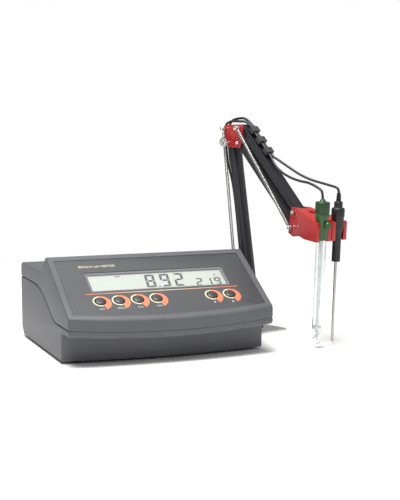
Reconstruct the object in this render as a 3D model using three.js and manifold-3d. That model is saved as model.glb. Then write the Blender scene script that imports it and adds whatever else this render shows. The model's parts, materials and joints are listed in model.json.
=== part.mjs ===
// Bench pH meter with a swinging electrode arm. Millimetres, +Z up, +X to the right along the front.
import * as THREE from 'three';
import { mergeVertices } from 'three/addons/utils/BufferGeometryUtils.js';
import Module from 'manifold-3d';

const wasm = await Module();
wasm.setup();

// ---- driving dimensions -------------------------------------------------------------------------

const GAP = 0.3; // clearance between pieces that touch
const RUN = 0.35; // radial clearance of a pin in its bore
const WALL = 3; // case wall

// case
const CASE_WIDTH = 235;
const CASE_REAR_Y = 111;
const CASE_BOTTOM_Z = 3;
const RIDGE_Y = -7.5;
const RIDGE_Z = 109;
const PANEL_SLOPE = THREE.MathUtils.degToRad(30.25);
const FRONT_CORNER_Y = -100.8;
const FRONT_FACE_HEIGHT = 13.3;
const FRONT_BULGE = 8.8; // how far the front bows forward in the middle
const DECK_Z = 89.6;
const WEDGE_FOOT_Y = 14;
const RIM_HEIGHT = 7; // lower case under the front slab
const TUB_FRONT_Y = -72;
const REAR_SEAM_Z = 72.8;
const REAR_CHAMFER = 9;
const EDGE = 1.2; // chamfer on the case's outer edges

// front panel, measured down the slope from the ridge
const LABEL_HALF_WIDTH = 110;
const LABEL_TOP = 8.8;
const LABEL_BOTTOM = 101.5;
const LABEL_RECESS = 1.6;
const LABEL_THICKNESS = 0.8;
const WINDOW_HALF_WIDTH = 81.5;
const WINDOW_TOP = 31.9;
const WINDOW_BOTTOM = 66.1;
const LENS_LEDGE = 3;
const KEY_RADIUS = 6;
const KEY_ROW = 82.4;
const KEY_XS = [-75.7, -54.3, -32.9, -11.5, 53.3, 74.7];
const KEY_NAMES = ['key_power', 'key_mode', 'key_calibrate', 'key_confirm', 'key_down', 'key_up'];
const KEY_FLANGE = 7.6;
const KEY_TRAVEL = 1.2;
const BOARD_DEPTH = 9.6;
const BOARD_THICKNESS = 1.6;

// rear connectors
const SOCKET_Z = 45;
const ELECTRODE_SOCKET_X = 70;
const PROBE_SOCKET_X = 42;
const POWER_INLET_X = -75;
const POWER_INLET_SIZE = 9;
const SOCKET_BARREL = 4.8;
const PROBE_BARREL = 3.9;
const PLUG_LENGTH = 28;

// feet and fasteners
const FOOT_RADIUS = 7;
const FOOT_PLACES = [[-98, -58], [98, -58], [-98, 92], [98, 92]];
const CASE_SCREW_PLACES = [[-76, 92], [76, 92]];
const CASE_SCREW_RADIUS = 1.5;
const BOSS_RADIUS = 6;

// arm: its own frame stands on the swivel pin, X forward along the arm, Y to the arm's right
const ARM_STANDOFF = 30.5; // from the case's side to the swivel's axis
const ARM_X = CASE_WIDTH / 2 + ARM_STANDOFF;
const ARM_Y = 32;
const ARM_TURN = THREE.MathUtils.degToRad(-70);
const PLATE_THICKNESS = 2.5;
const PLATE_FRONT = 22;
const PLATE_BACK = -62;
const PLATE_LEFT = -60;
const PLATE_RIGHT = 42;
const SWIVEL_RADIUS = 4;
const SWIVEL_TOP = 32;
const YOKE_HALF_WIDTH = 9.4;
const CHEEK = 2.4; // thickness of a clevis cheek
const PIN_RADIUS = 2;
const REAR_PIN_RADIUS = 1.7;
const BAR_HALF_WIDTH = 6.4;
const LOWER_PIVOT = [2, 50];
const LOWER_BAR = [-30.5, 181.5]; // vector from the base pivot to the elbow pivot
const ELBOW_LINK = [14.5, -0.5]; // from the elbow pivot to the front rivet
const TOP_LINK = [3.4, 18]; // from the front rivet to the top pin
const REAR_LINK = [-6.1, 16]; // from the elbow pivot to the rear spring pin
const UPPER_BAR = [93, -96]; // vector from the elbow to the holder
const LOWER_BAR_DEPTH = 9;
// From the lower bar's pivots to the tie rod's.
const TIE_LINK = [LOWER_BAR_DEPTH / 2 + PIN_RADIUS + 0.5, -0.5];
const UPPER_BAR_DEPTH = 8.5;
const TIE_ROD_RADIUS = 1.8;
const SPRING_RADIUS = 2;
const SPRING_OFFSET = 13.2;
const SPRING_PEG = [-9, 46];
const KNOB_RADIUS = 6;
const KNOB_THICKNESS = 4;
const KNOB_OFFSET = 18;
const CLAMP_RADIUS = 1.6; // clamp screw outside the elbow block

// holder
const HOLDER_TILT = THREE.MathUtils.degToRad(2.6); // nose down
const ELECTRODE_REACH = 129.2; // from the swivel axis to the electrodes, at the holder's height
const ELECTRODE_PITCH = 26.4;
const HOLDER_BORE = 7.4;
const SPARE_BORE = 4.6;
const SPARE_REACH = 102;
const HOLDER_TOP = 148;
const HOLDER_BOTTOM = 122.8;
const HOLDER_NOSE_HALF = 25.2;

// electrode and temperature probe
const CAP_TOP = 167.8;
const CAP_RADIUS = 8.3;
const GLASS_RADIUS = 6;
const GLASS_LENGTH = 120.8; // below the cap
const BULB_RADIUS = 5;
const PROBE_TOP = 166.8;
const PROBE_RADIUS = 7.6;
const PROBE_NECK_RADIUS = 4.9;
const PROBE_NECK_BOTTOM = 98;
const ROD_RADIUS = 1.6;
const ROD_TIP = 4;

// leads
const LEAD_RADIUS = 1.5;
const COIL_CENTRE = [104, 160];
const COIL_LAYERS = 4;
const COIL_INNER = 13.3;
const COIL_OUTER = 19.9;

// ---- solids -------------------------------------------------------------------------------------

// One closed solid from any closed geometry, turned to face outwards.
function solid(geometry) {
  const bare = geometry.index ? geometry.toNonIndexed() : geometry.clone();
  bare.deleteAttribute('normal');
  bare.deleteAttribute('uv');
  const merged = mergeVertices(bare, 1e-4);
  const triangles = Array.from(merged.index.array).reduce((list, v, i) => {
    if (i % 3 === 0) list.push([]);
    list[list.length - 1].push(v);
    return list;
  }, []).filter(([a, b, c]) => a !== b && b !== c && c !== a);
  const p = merged.attributes.position;
  const point = (i) => new THREE.Vector3().fromBufferAttribute(p, i);
  const volume = triangles.reduce(
    (sum, [a, b, c]) => sum + point(a).dot(point(b).cross(point(c))), 0);
  const faces = volume < 0 ? triangles.map(([a, b, c]) => [a, c, b]) : triangles;
  return new wasm.Manifold(new wasm.Mesh({
    numProp: 3,
    vertProperties: new Float32Array(p.array),
    triVerts: new Uint32Array(faces.flat()),
  }));
}

function geometryOf(manifold) {
  const mesh = manifold.getMesh();
  const geometry = new THREE.BufferGeometry();
  geometry.setAttribute('position', new THREE.BufferAttribute(new Float32Array(mesh.vertProperties), 3));
  geometry.setIndex(new THREE.BufferAttribute(new Uint32Array(mesh.triVerts), 1));
  geometry.computeVertexNormals();
  return geometry;
}

const cut = (base, ...tools) => tools.reduce((left, tool) => left.subtract(tool), base);
const join = (base, ...more) => more.reduce((sum, piece) => sum.add(piece), base);

function box(x0, x1, y0, y1, z0, z1) {
  const geometry = new THREE.BoxGeometry(x1 - x0, y1 - y0, z1 - z0);
  return solid(geometry.translate((x0 + x1) / 2, (y0 + y1) / 2, (z0 + z1) / 2));
}

// A cylinder or cone from one point to another.
function rod(from, to, radius, sides = 20, endRadius = radius) {
  const a = new THREE.Vector3(...from);
  const b = new THREE.Vector3(...to);
  const geometry = new THREE.CylinderGeometry(endRadius, radius, a.distanceTo(b), sides);
  const turn = new THREE.Quaternion().setFromUnitVectors(
    new THREE.Vector3(0, 1, 0), b.clone().sub(a).normalize());
  geometry.applyQuaternion(turn);
  const middle = a.add(b).multiplyScalar(0.5);
  return solid(geometry.translate(middle.x, middle.y, middle.z));
}

// A turned piece: [radius, height] points from the axis back to the axis, standing on Z.
function turned(profile, sides = 18) {
  const points = profile.map(([r, z]) => new THREE.Vector2(r, z));
  return solid(new THREE.LatheGeometry(points, sides).rotateX(Math.PI / 2));
}

// The same piece with its axis along Y, starting at a point.
function turnedAlongY(profile, [x, y, z], sides = 16) {
  const points = profile.map(([r, h]) => new THREE.Vector2(r, h));
  return solid(new THREE.LatheGeometry(points, sides).translate(x, y, z));
}

// A plate with its outline in X and Z, standing between two values of Y.
function sidePlate(outline, y0, y1) {
  const shape = outline instanceof THREE.Shape ? outline
    : new THREE.Shape(outline.map(([x, z]) => new THREE.Vector2(x, z)));
  const settings = { depth: y1 - y0, bevelEnabled: false, curveSegments: 8 };
  const geometry = new THREE.ExtrudeGeometry(shape, settings);
  return solid(geometry.rotateX(Math.PI / 2).translate(0, y1, 0));
}

// A plate with its outline in X and Y, lying between two heights.
function flatPlate(shape, z0, z1, curveSegments = 12) {
  const geometry = new THREE.ExtrudeGeometry(shape, { depth: z1 - z0, bevelEnabled: false, curveSegments });
  return solid(geometry.translate(0, 0, z0));
}

function rectangle(x0, x1, y0, y1) {
  return new THREE.Shape([[x0, y0], [x1, y0], [x1, y1], [x0, y1]].map((p) => new THREE.Vector2(...p)));
}

// A closed skin through side outlines [y, z] standing at a row of X stations.
function loft(stations, outlineAt) {
  const rings = stations.map((x) => outlineAt(x).map(([y, z]) => new THREE.Vector3(x, y, z)));
  const count = rings[0].length;
  const corners = [];
  for (let s = 0; s + 1 < rings.length; s += 1) {
    for (let i = 0; i < count; i += 1) {
      const j = (i + 1) % count;
      corners.push(rings[s][i], rings[s][j], rings[s + 1][j]);
      corners.push(rings[s][i], rings[s + 1][j], rings[s + 1][i]);
    }
  }
  [[rings[0], true], [rings.at(-1), false]].forEach(([ring, flip]) => {
    const flat = ring.map((p) => new THREE.Vector2(p.y, p.z));
    THREE.ShapeUtils.triangulateShape(flat, []).forEach(([a, b, c]) => {
      corners.push(...(flip ? [ring[a], ring[c], ring[b]] : [ring[a], ring[b], ring[c]]));
    });
  });
  return solid(new THREE.BufferGeometry().setFromPoints(corners));
}

// An outline [y, z], listed anticlockwise, drawn in by a distance all round.
function inset(outline, distance) {
  return outline.map(([y, z], i) => {
    const [y0, z0] = outline.at(i - 1);
    const [y1, z1] = outline[(i + 1) % outline.length];
    const before = new THREE.Vector2(z0 - z, y - y0).normalize();
    const after = new THREE.Vector2(z - z1, y1 - y).normalize();
    const miter = before.clone().add(after).multiplyScalar(distance / (1 + before.dot(after)));
    return [y + miter.x, z + miter.y];
  });
}

// ---- materials ----------------------------------------------------------------------------------

const paint = (color, roughness, metalness = 0) => (
  new THREE.MeshStandardMaterial({ color, roughness, metalness }));
const materials = {
  housing: paint(0x4b4f54, 0.55),
  panel: paint(0x3d4248, 0.45),
  lens: paint(0xdfe6e4, 0.1),
  display: paint(0xc9cfcb, 0.35),
  board: paint(0x1f6b3a, 0.6),
  key: paint(0x3b3d40, 0.6),
  rubber: paint(0x1a1a1a, 0.9),
  steel: paint(0xc9c9c6, 0.3, 1),
  holder: paint(0xc8262a, 0.4),
  bar: paint(0x2d2d30, 0.35, 0.6),
  socket: paint(0x202022, 0.5),
  lead: paint(0x17181a, 0.6),
  electrode: paint(0x3f7f3b, 0.45),
  glass: paint(0xe3e8ea, 0.05),
  probe: paint(0x141414, 0.4),
};

const instrument = new THREE.Group();
const arm = new THREE.Group();
arm.position.set(ARM_X, ARM_Y, 0);
arm.rotation.z = ARM_TURN;
instrument.add(arm);

function add(group, name, body, material, place = [0, 0, 0]) {
  const geometry = geometryOf(body.translate(place.map((v) => -v)));
  const mesh = new THREE.Mesh(geometry, materials[material]);
  mesh.name = name;
  mesh.position.set(...place);
  group.add(mesh);
}

// ---- case ---------------------------------------------------------------------------------------

const HALF_WIDTH = CASE_WIDTH / 2;
const FRONT_TOP_Z = RIDGE_Z - (RIDGE_Y - FRONT_CORNER_Y) * Math.tan(PANEL_SLOPE);
const FRONT_SEAM_Z = FRONT_TOP_Z - FRONT_FACE_HEIGHT;
const bow = (x) => FRONT_BULGE * (1 - (x / HALF_WIDTH) ** 2);
const drop = (x) => bow(x) * Math.tan(PANEL_SLOPE);

// The parting line on the side, from the rear to the front, falls in an S past the panel's ridge.
const seamCurve = new THREE.CubicBezierCurve(
  new THREE.Vector2(RIDGE_Y + 54, REAR_SEAM_Z),
  new THREE.Vector2(RIDGE_Y + 5, REAR_SEAM_Z),
  new THREE.Vector2(RIDGE_Y - 22, FRONT_SEAM_Z),
  new THREE.Vector2(RIDGE_Y - 42, FRONT_SEAM_Z),
);
const seamMiddle = seamCurve.getPoints(9).map(({ x, y }) => [x, y]);
const seam = (x, lower = 0) => [
  [CASE_REAR_Y, REAR_SEAM_Z - lower],
  ...seamMiddle.map(([y, z]) => [y, z - lower]),
  [FRONT_CORNER_Y - bow(x), FRONT_SEAM_Z - drop(x) - lower],
];

function topLine(x) {
  const panel = Math.tan(PANEL_SLOPE);
  const frontY = FRONT_CORNER_Y - bow(x);
  const frontZ = FRONT_TOP_Z - drop(x);
  const wedge = (RIDGE_Z - DECK_Z) / (WEDGE_FOOT_Y - RIDGE_Y);
  return [
    [CASE_REAR_Y, DECK_Z - 4],
    [CASE_REAR_Y - 4, DECK_Z],
    [WEDGE_FOOT_Y, DECK_Z],
    [RIDGE_Y + 2, RIDGE_Z - 2 * wedge],
    [RIDGE_Y, RIDGE_Z - 0.9],
    [RIDGE_Y - 2, RIDGE_Z - 2 * panel],
    [frontY + EDGE, frontZ + EDGE * panel],
    [frontY, frontZ - EDGE],
  ];
}

function bottomLine(x) {
  const frontY = FRONT_CORNER_Y - bow(x);
  const rimZ = FRONT_SEAM_Z - RIM_HEIGHT - drop(x);
  const tubY = TUB_FRONT_Y - 1.2 * bow(x);
  return [
    [frontY, rimZ + 2],
    [frontY + 2, rimZ],
    [tubY - 3, rimZ],
    [tubY, rimZ - 3],
    [tubY + 1.4, CASE_BOTTOM_Z],
    [CASE_REAR_Y - REAR_CHAMFER, CASE_BOTTOM_Z],
    [CASE_REAR_Y, CASE_BOTTOM_Z + REAR_CHAMFER],
  ];
}

const upperOutline = (x) => [...topLine(x), ...seam(x).reverse()];
const lowerOutline = (x) => [...seam(x, GAP), ...bottomLine(x)];
const wholeOutline = (x) => [...topLine(x), ...bottomLine(x)];
const acrossCase = [-1, -0.9, -0.7, -0.5, -0.25, 0, 0.25, 0.5, 0.7, 0.9, 1]
  .map((s) => s * (HALF_WIDTH - EDGE));

function shellFrom(outlineAt) {
  const ends = [-HALF_WIDTH, ...acrossCase, HALF_WIDTH];
  return loft(ends, (x) => (Math.abs(x) === HALF_WIDTH ? inset(outlineAt(x), EDGE) : outlineAt(x)));
}

const cavity = loft(
  acrossCase.map((x) => x * ((HALF_WIDTH - WALL) / (HALF_WIDTH - EDGE))),
  (x) => inset(wholeOutline(x), WALL),
);

// The panel's own frame: X across, Y up the slope, Z out of the panel, on the ridge.
const panelFrame = new THREE.Matrix4().makeRotationX(PANEL_SLOPE).setPosition(0, RIDGE_Y, RIDGE_Z);
const onPanel = (body) => body.transform(panelFrame.toArray());

function labelShape(margin) {
  const half = LABEL_HALF_WIDTH - margin;
  const bottom = LABEL_BOTTOM + bow(LABEL_HALF_WIDTH) - margin;
  const shape = new THREE.Shape();
  shape.moveTo(-half, -LABEL_TOP - margin);
  shape.lineTo(-half, -bottom);
  shape.quadraticCurveTo(0, -bottom - 2 * (FRONT_BULGE - bow(LABEL_HALF_WIDTH)), half, -bottom);
  shape.lineTo(half, -LABEL_TOP - margin);
  return shape;
}

const windowShape = (margin) => rectangle(
  -WINDOW_HALF_WIDTH + margin, WINDOW_HALF_WIDTH - margin, -WINDOW_BOTTOM + margin, -WINDOW_TOP - margin);
const keyHole = (x, radius) => rod([x, -KEY_ROW, -WALL - 2], [x, -KEY_ROW, 2], radius, 18);

function buildUpperCase() {
  const pocket = onPanel(flatPlate(labelShape(0), -LABEL_RECESS, 5));
  const opening = onPanel(flatPlate(windowShape(LENS_LEDGE), -WALL - 3, 0));
  const holes = KEY_XS.map((x) => onPanel(keyHole(x, KEY_RADIUS + GAP)));
  const posts = CASE_SCREW_PLACES.map(([x, y]) => cut(
    rod([x, y, CASE_BOTTOM_Z + WALL + 6], [x, y, DECK_Z - WALL / 2], BOSS_RADIUS, 20),
    rod([x, y, CASE_BOTTOM_Z], [x, y, CASE_BOTTOM_Z + 26], CASE_SCREW_RADIUS + GAP, 12),
  ));
  return join(cut(shellFrom(upperOutline), cavity, pocket, opening, ...holes), ...posts);
}

function buildLowerCase() {
  const pads = CASE_SCREW_PLACES.map(([x, y]) => (
    rod([x, y, CASE_BOTTOM_Z + 1], [x, y, CASE_BOTTOM_Z + WALL + 3], BOSS_RADIUS, 20)));
  const screwHoles = CASE_SCREW_PLACES.flatMap(([x, y]) => [
    rod([x, y, 0], [x, y, 20], CASE_SCREW_RADIUS + GAP, 12),
    rod([x, y, 0], [x, y, CASE_BOTTOM_Z + 3], 3.6, 16),
  ]);
  const wallCut = (x, radius) => rod(
    [x, CASE_REAR_Y - WALL - 2, SOCKET_Z], [x, CASE_REAR_Y + 2, SOCKET_Z], radius, 24);
  const inlet = POWER_INLET_SIZE / 2 + GAP;
  return cut(
    join(cut(shellFrom(lowerOutline), cavity), ...pads),
    ...screwHoles,
    wallCut(ELECTRODE_SOCKET_X, SOCKET_BARREL + GAP),
    wallCut(PROBE_SOCKET_X, PROBE_BARREL + GAP),
    box(POWER_INLET_X - inlet, POWER_INLET_X + inlet, CASE_REAR_Y - WALL - 2, CASE_REAR_Y + 2,
      SOCKET_Z - inlet, SOCKET_Z + inlet),
  );
}

add(instrument, 'upper_case', buildUpperCase(), 'housing');
add(instrument, 'lower_case', buildLowerCase(), 'housing');

// ---- front panel --------------------------------------------------------------------------------

const overlayTop = -LABEL_RECESS + GAP + LABEL_THICKNESS;
const overlay = cut(
  flatPlate(labelShape(GAP), -LABEL_RECESS + GAP, overlayTop),
  flatPlate(windowShape(0), -5, 5),
  ...KEY_XS.map((x) => keyHole(x, KEY_RADIUS + GAP)),
);
add(instrument, 'panel_overlay', onPanel(overlay), 'panel');
add(instrument, 'lcd_window', onPanel(flatPlate(windowShape(GAP), -LABEL_RECESS + GAP, overlayTop)), 'lens');

const boardTop = -BOARD_DEPTH;
const displayTop = -WALL - GAP;
const display = join(
  flatPlate(windowShape(1.5), displayTop - 3, displayTop),
  flatPlate(windowShape(4), boardTop + GAP, displayTop - 2),
);
add(instrument, 'lcd_module', onPanel(display), 'display');
const boardBottomEdge = LABEL_BOTTOM - 4;
add(instrument, 'main_board', onPanel(flatPlate(
  rectangle(-LABEL_HALF_WIDTH + 10, LABEL_HALF_WIDTH - 10, -boardBottomEdge, -LABEL_TOP - 10),
  boardTop - BOARD_THICKNESS, boardTop)), 'board');

const keyFlangeTop = -WALL - GAP;
KEY_XS.forEach((x, i) => {
  const stemEnd = boardTop + KEY_TRAVEL + GAP;
  const profile = [
    [0, stemEnd], [2, stemEnd], [2, keyFlangeTop - 1.4], [KEY_FLANGE, keyFlangeTop - 1.4],
    [KEY_FLANGE, keyFlangeTop], [KEY_RADIUS, keyFlangeTop], [KEY_RADIUS, 0], [KEY_RADIUS - 0.5, 0.6],
    [0, 1],
  ];
  const body = onPanel(turned(profile, 18).translate([x, -KEY_ROW, 0]));
  const place = new THREE.Vector3(x, -KEY_ROW, 0).applyMatrix4(panelFrame);
  add(instrument, KEY_NAMES[i], body, 'key', place.toArray());
});

// ---- feet, screws and rear connectors -----------------------------------------------------------

FOOT_PLACES.forEach(([x, y], i) => {
  const top = CASE_BOTTOM_Z - GAP;
  const profile = [[0, 0], [FOOT_RADIUS - 1, 0], [FOOT_RADIUS, 1], [FOOT_RADIUS, top], [0, top]];
  add(instrument, `foot_${i + 1}`, turned(profile, 20), 'rubber', [0, 0, 0]);
  instrument.children.at(-1).position.set(x, y, 0);
});

CASE_SCREW_PLACES.forEach(([x, y], i) => {
  const head = CASE_BOTTOM_Z + 0.6;
  const profile = [[0, head], [3.2, head], [3.2, head + 2], [CASE_SCREW_RADIUS, head + 2],
    [CASE_SCREW_RADIUS, CASE_BOTTOM_Z + 22], [0, CASE_BOTTOM_Z + 22]];
  const slot = box(-2.4, 2.4, -0.4, 0.4, head - 1, head + 0.8);
  add(instrument, `case_screw_${i + 1}`, cut(turned(profile, 16), slot), 'steel');
  instrument.children.at(-1).position.set(x, y, 0);
});

const rearY = CASE_REAR_Y + GAP;
const socket = (barrel, flange, out) => [
  [0, -WALL - 8], [barrel, -WALL - 8], [barrel, 0], [flange, 0], [flange, 1.5], [barrel, 1.5],
  [barrel, out], [barrel - 0.9, out], [barrel - 0.9, 3], [0.7, 3], [0.7, out - 1], [0, out - 1],
];
const plug = (barrel, grip, depth) => [
  [0, depth], [barrel + GAP, depth], [barrel + GAP, 0], [grip, 0], [grip, 10], [grip - 1.2, 11],
  [grip - 1.2, PLUG_LENGTH - 8], [LEAD_RADIUS + 1.6, PLUG_LENGTH - 6], [LEAD_RADIUS + 0.5, PLUG_LENGTH + 8],
  [0, PLUG_LENGTH + 8],
];
const SOCKET_REACH = 11;
const PLUG_START = 1.5 + GAP;
[['electrode', ELECTRODE_SOCKET_X, SOCKET_BARREL, 8], ['probe', PROBE_SOCKET_X, PROBE_BARREL, 6.5]].forEach(
  ([name, x, barrel, flange]) => {
    const place = [x, rearY, SOCKET_Z];
    const socketBody = turnedAlongY(socket(barrel, flange, SOCKET_REACH), place);
    add(instrument, `${name}_socket`, socketBody, 'steel', place);
    const start = [x, rearY + PLUG_START, SOCKET_Z];
    const depth = SOCKET_REACH - PLUG_START + GAP;
    add(instrument, `${name}_plug`, turnedAlongY(plug(barrel, flange - 0.6, depth), start), 'socket', start);
  },
);

const inletHalf = POWER_INLET_SIZE / 2;
add(instrument, 'power_inlet', join(
  cut(
    join(
      box(POWER_INLET_X - inletHalf, POWER_INLET_X + inletHalf, CASE_REAR_Y - 11, rearY + 1,
        SOCKET_Z - inletHalf, SOCKET_Z + inletHalf),
      box(POWER_INLET_X - inletHalf - 2, POWER_INLET_X + inletHalf + 2, rearY, rearY + 1.5,
        SOCKET_Z - inletHalf - 2, SOCKET_Z + inletHalf + 2),
    ),
    rod([POWER_INLET_X, CASE_REAR_Y - 8, SOCKET_Z], [POWER_INLET_X, rearY + 3, SOCKET_Z], 2.9, 16),
  ),
  rod([POWER_INLET_X, CASE_REAR_Y - 9, SOCKET_Z], [POWER_INLET_X, rearY - 1, SOCKET_Z], 1, 8),
), 'socket');

// ---- arm base -----------------------------------------------------------------------------------

const plus = (a, b, s = 1) => [a[0] + s * b[0], a[1] + s * b[1]];
const baseFront = plus(LOWER_PIVOT, TIE_LINK);
const elbow = plus(LOWER_PIVOT, LOWER_BAR);
const tieTop = plus(elbow, TIE_LINK);
const elbowFront = plus(elbow, ELBOW_LINK);
const elbowTop = plus(elbowFront, TOP_LINK);
const elbowRear = plus(elbow, REAR_LINK);
const holderLow = plus(elbowFront, UPPER_BAR);
const holderHigh = plus(elbowTop, UPPER_BAR);

const across = ([x, z], half, radius, sides = 16) => rod([x, -half, z], [x, half, z], radius, sides);
const bore = (pivot, half = 30) => across(pivot, half, PIN_RADIUS + RUN);

const plateScrewPlaces = [[-12, PLATE_LEFT + 12], [-46, PLATE_LEFT + 12]];
const plateOutline = rectangle(PLATE_BACK, PLATE_FRONT, PLATE_LEFT, PLATE_RIGHT);
const plateBody = cut(
  flatPlate(plateOutline, 0, PLATE_THICKNESS),
  ...plateScrewPlaces.map(([x, y]) => rod([x, y, -1], [x, y, 5], 1.9, 14)),
);
add(arm, 'base_plate', plateBody, 'steel');
plateScrewPlaces.forEach(([x, y], i) => {
  add(arm, `plate_screw_${i + 1}`, rod([0, 0, 0.5], [0, 0, PLATE_THICKNESS], 1.6, 14), 'steel');
  arm.children.at(-1).position.set(x, y, 0);
});

const pinFoot = PLATE_THICKNESS + GAP;
add(arm, 'swivel_pin', turned([
  [0, pinFoot], [11, pinFoot], [11, pinFoot + 2], [SWIVEL_RADIUS, pinFoot + 2.6],
  [SWIVEL_RADIUS, SWIVEL_TOP], [0, SWIVEL_TOP],
]), 'steel');

const yokeBottom = pinFoot + 3;
const yokeTop = LOWER_PIVOT[1] + 5;
const yokeSlotFloor = LOWER_PIVOT[1] - LOWER_BAR_DEPTH / 2 - 3;
const yokeRear = LOWER_PIVOT[0] - 13;
const yokeFront = baseFront[0] + 5;
const yokeBody = cut(
  join(
    sidePlate([
      [yokeRear, yokeBottom], [yokeFront, yokeBottom], [yokeFront, yokeTop - 3], [yokeFront - 3, yokeTop],
      [LOWER_PIVOT[0] - 6, yokeTop], [yokeRear, yokeTop - 6],
    ], -YOKE_HALF_WIDTH, YOKE_HALF_WIDTH),
    across(SPRING_PEG, SPRING_OFFSET + 2, 1.6, 12),
  ),
  box(yokeRear - 5, yokeFront + 5, -BAR_HALF_WIDTH - RUN, BAR_HALF_WIDTH + RUN, yokeSlotFloor, yokeTop + 5),
  rod([0, 0, 0], [0, 0, SWIVEL_TOP + GAP], SWIVEL_RADIUS + RUN),
  bore(LOWER_PIVOT),
  bore(baseFront),
);
// The pegs pass the slot, so their middle is cut away with it.
add(arm, 'base_yoke', yokeBody, 'socket');

// A pin through a clevis: its shank, and a head beyond each cheek.
function rivet(halfWidth, headRadius, reach = halfWidth + GAP) {
  return join(
    rod([0, -reach - 1.6, 0], [0, reach + 1.6, 0], PIN_RADIUS, 16),
    rod([0, -reach - 1.6, 0], [0, -reach, 0], headRadius, 16),
    rod([0, reach, 0], [0, reach + 1.6, 0], headRadius, 16),
  );
}

function addPin(name, [x, z], body) {
  add(arm, name, body, 'steel');
  arm.children.at(-1).position.set(x, 0, z);
}

addPin('base_rear_pin', LOWER_PIVOT, rivet(YOKE_HALF_WIDTH, 3.1));
addPin('base_front_pin', baseFront, rivet(YOKE_HALF_WIDTH, 3.1));

// ---- arm bars -----------------------------------------------------------------------------------

// A bar between two pivots: round ends, a bore at each end and a groove along each edge.
// Forks are the half widths of the slots in its two ends.
function bar(from, to, depth, halfWidth, grooveWidth, fork = 0, farFork = 0) {
  const length = Math.hypot(to[0] - from[0], to[1] - from[1]);
  const half = depth / 2;
  const shape = new THREE.Shape();
  shape.moveTo(0, -half);
  shape.lineTo(length, -half);
  shape.absarc(length, 0, half, -Math.PI / 2, Math.PI / 2);
  shape.lineTo(0, half);
  shape.absarc(0, 0, half, Math.PI / 2, (3 * Math.PI) / 2);
  const grooves = [-1, 1].map((side) => box(
    depth, length - depth, -grooveWidth / 2, grooveWidth / 2, side * half - 1.2, side * half + 1.2));
  const slots = [
    ...(fork ? [box(-depth, depth * 1.35, -fork, fork, -depth, depth)] : []),
    ...(farFork ? [box(length - depth * 1.35, length + depth, -farFork, farFork, -depth, depth)] : []),
  ];
  const body = cut(
    sidePlate(shape, -halfWidth, halfWidth),
    ...grooves,
    ...slots,
    across([0, 0], 20, PIN_RADIUS + RUN),
    across([length, 0], 20, PIN_RADIUS + RUN),
  );
  const turn = new THREE.Matrix4().makeRotationY(-Math.atan2(to[1] - from[1], to[0] - from[0]));
  return body.transform(turn.setPosition(from[0], 0, from[1]).toArray());
}

const EYE_HALF = 2.6;
add(arm, 'lower_bar', bar(
  LOWER_PIVOT, elbow, LOWER_BAR_DEPTH, BAR_HALF_WIDTH, 6, EYE_HALF + RUN, EYE_HALF + RUN), 'bar');
const eye = (pivot) => across(pivot, EYE_HALF, TIE_ROD_RADIUS + PIN_RADIUS);
add(arm, 'tie_rod', cut(
  join(rod([baseFront[0], 0, baseFront[1]], [tieTop[0], 0, tieTop[1]], TIE_ROD_RADIUS, 14),
    eye(baseFront), eye(tieTop)),
  bore(baseFront), bore(tieTop),
), 'bar');

// ---- elbow --------------------------------------------------------------------------------------

const ELBOW_HALF = BAR_HALF_WIDTH + RUN + CHEEK;
const elbowOutline = [
  plus(elbow, [-9, 20]), plus(elbow, [-9.5, 7]), plus(elbow, [-4.5, -4.5]), plus(elbow, [2, -6.2]),
  plus(elbowFront, [5, -5.7]), plus(elbowTop, [5.6, -10]), plus(elbowTop, [5.2, 1.2]),
  plus(elbowTop, [2.2, 4.2]), plus(elbowTop, [-1, 4.2]),
  plus(elbowTop, [-22, 3.6]),
];
const webBottom = elbow[1] + 8.5;
const webFront = elbowTop[0] - 10.5;
const slotHalf = BAR_HALF_WIDTH + RUN;
// The tie rod's upper eye turns on a pin moulded between the cheeks.
const elbowBody = join(cut(
  sidePlate(elbowOutline, -ELBOW_HALF, ELBOW_HALF),
  box(elbow[0] - 20, elbow[0] + 60, -slotHalf, slotHalf, elbow[1] - 20, webBottom),
  box(webFront, elbow[0] + 60, -slotHalf, slotHalf, elbow[1] - 20, elbow[1] + 60),
  bore(elbow), bore(elbowFront), bore(elbowTop),
  across(elbowRear, 30, REAR_PIN_RADIUS + RUN),
), across(tieTop, ELBOW_HALF - CHEEK / 2, PIN_RADIUS));
add(arm, 'elbow_block', elbowBody, 'holder');
addPin('elbow_front_pin', elbowFront, rivet(ELBOW_HALF, 2.6));
const springPin = (radius) => join(
  rod([0, -SPRING_OFFSET - 3.5, 0], [0, SPRING_OFFSET + 3.5, 0], radius, 14),
  rod([0, -SPRING_OFFSET - 4.6, 0], [0, -SPRING_OFFSET - 3, 0], radius + 0.9, 14),
  rod([0, SPRING_OFFSET + 3, 0], [0, SPRING_OFFSET + 4.6, 0], radius + 0.9, 14),
);
addPin('elbow_top_pin', elbowTop, springPin(PIN_RADIUS));
addPin('elbow_rear_pin', elbowRear, springPin(REAR_PIN_RADIUS));

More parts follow.
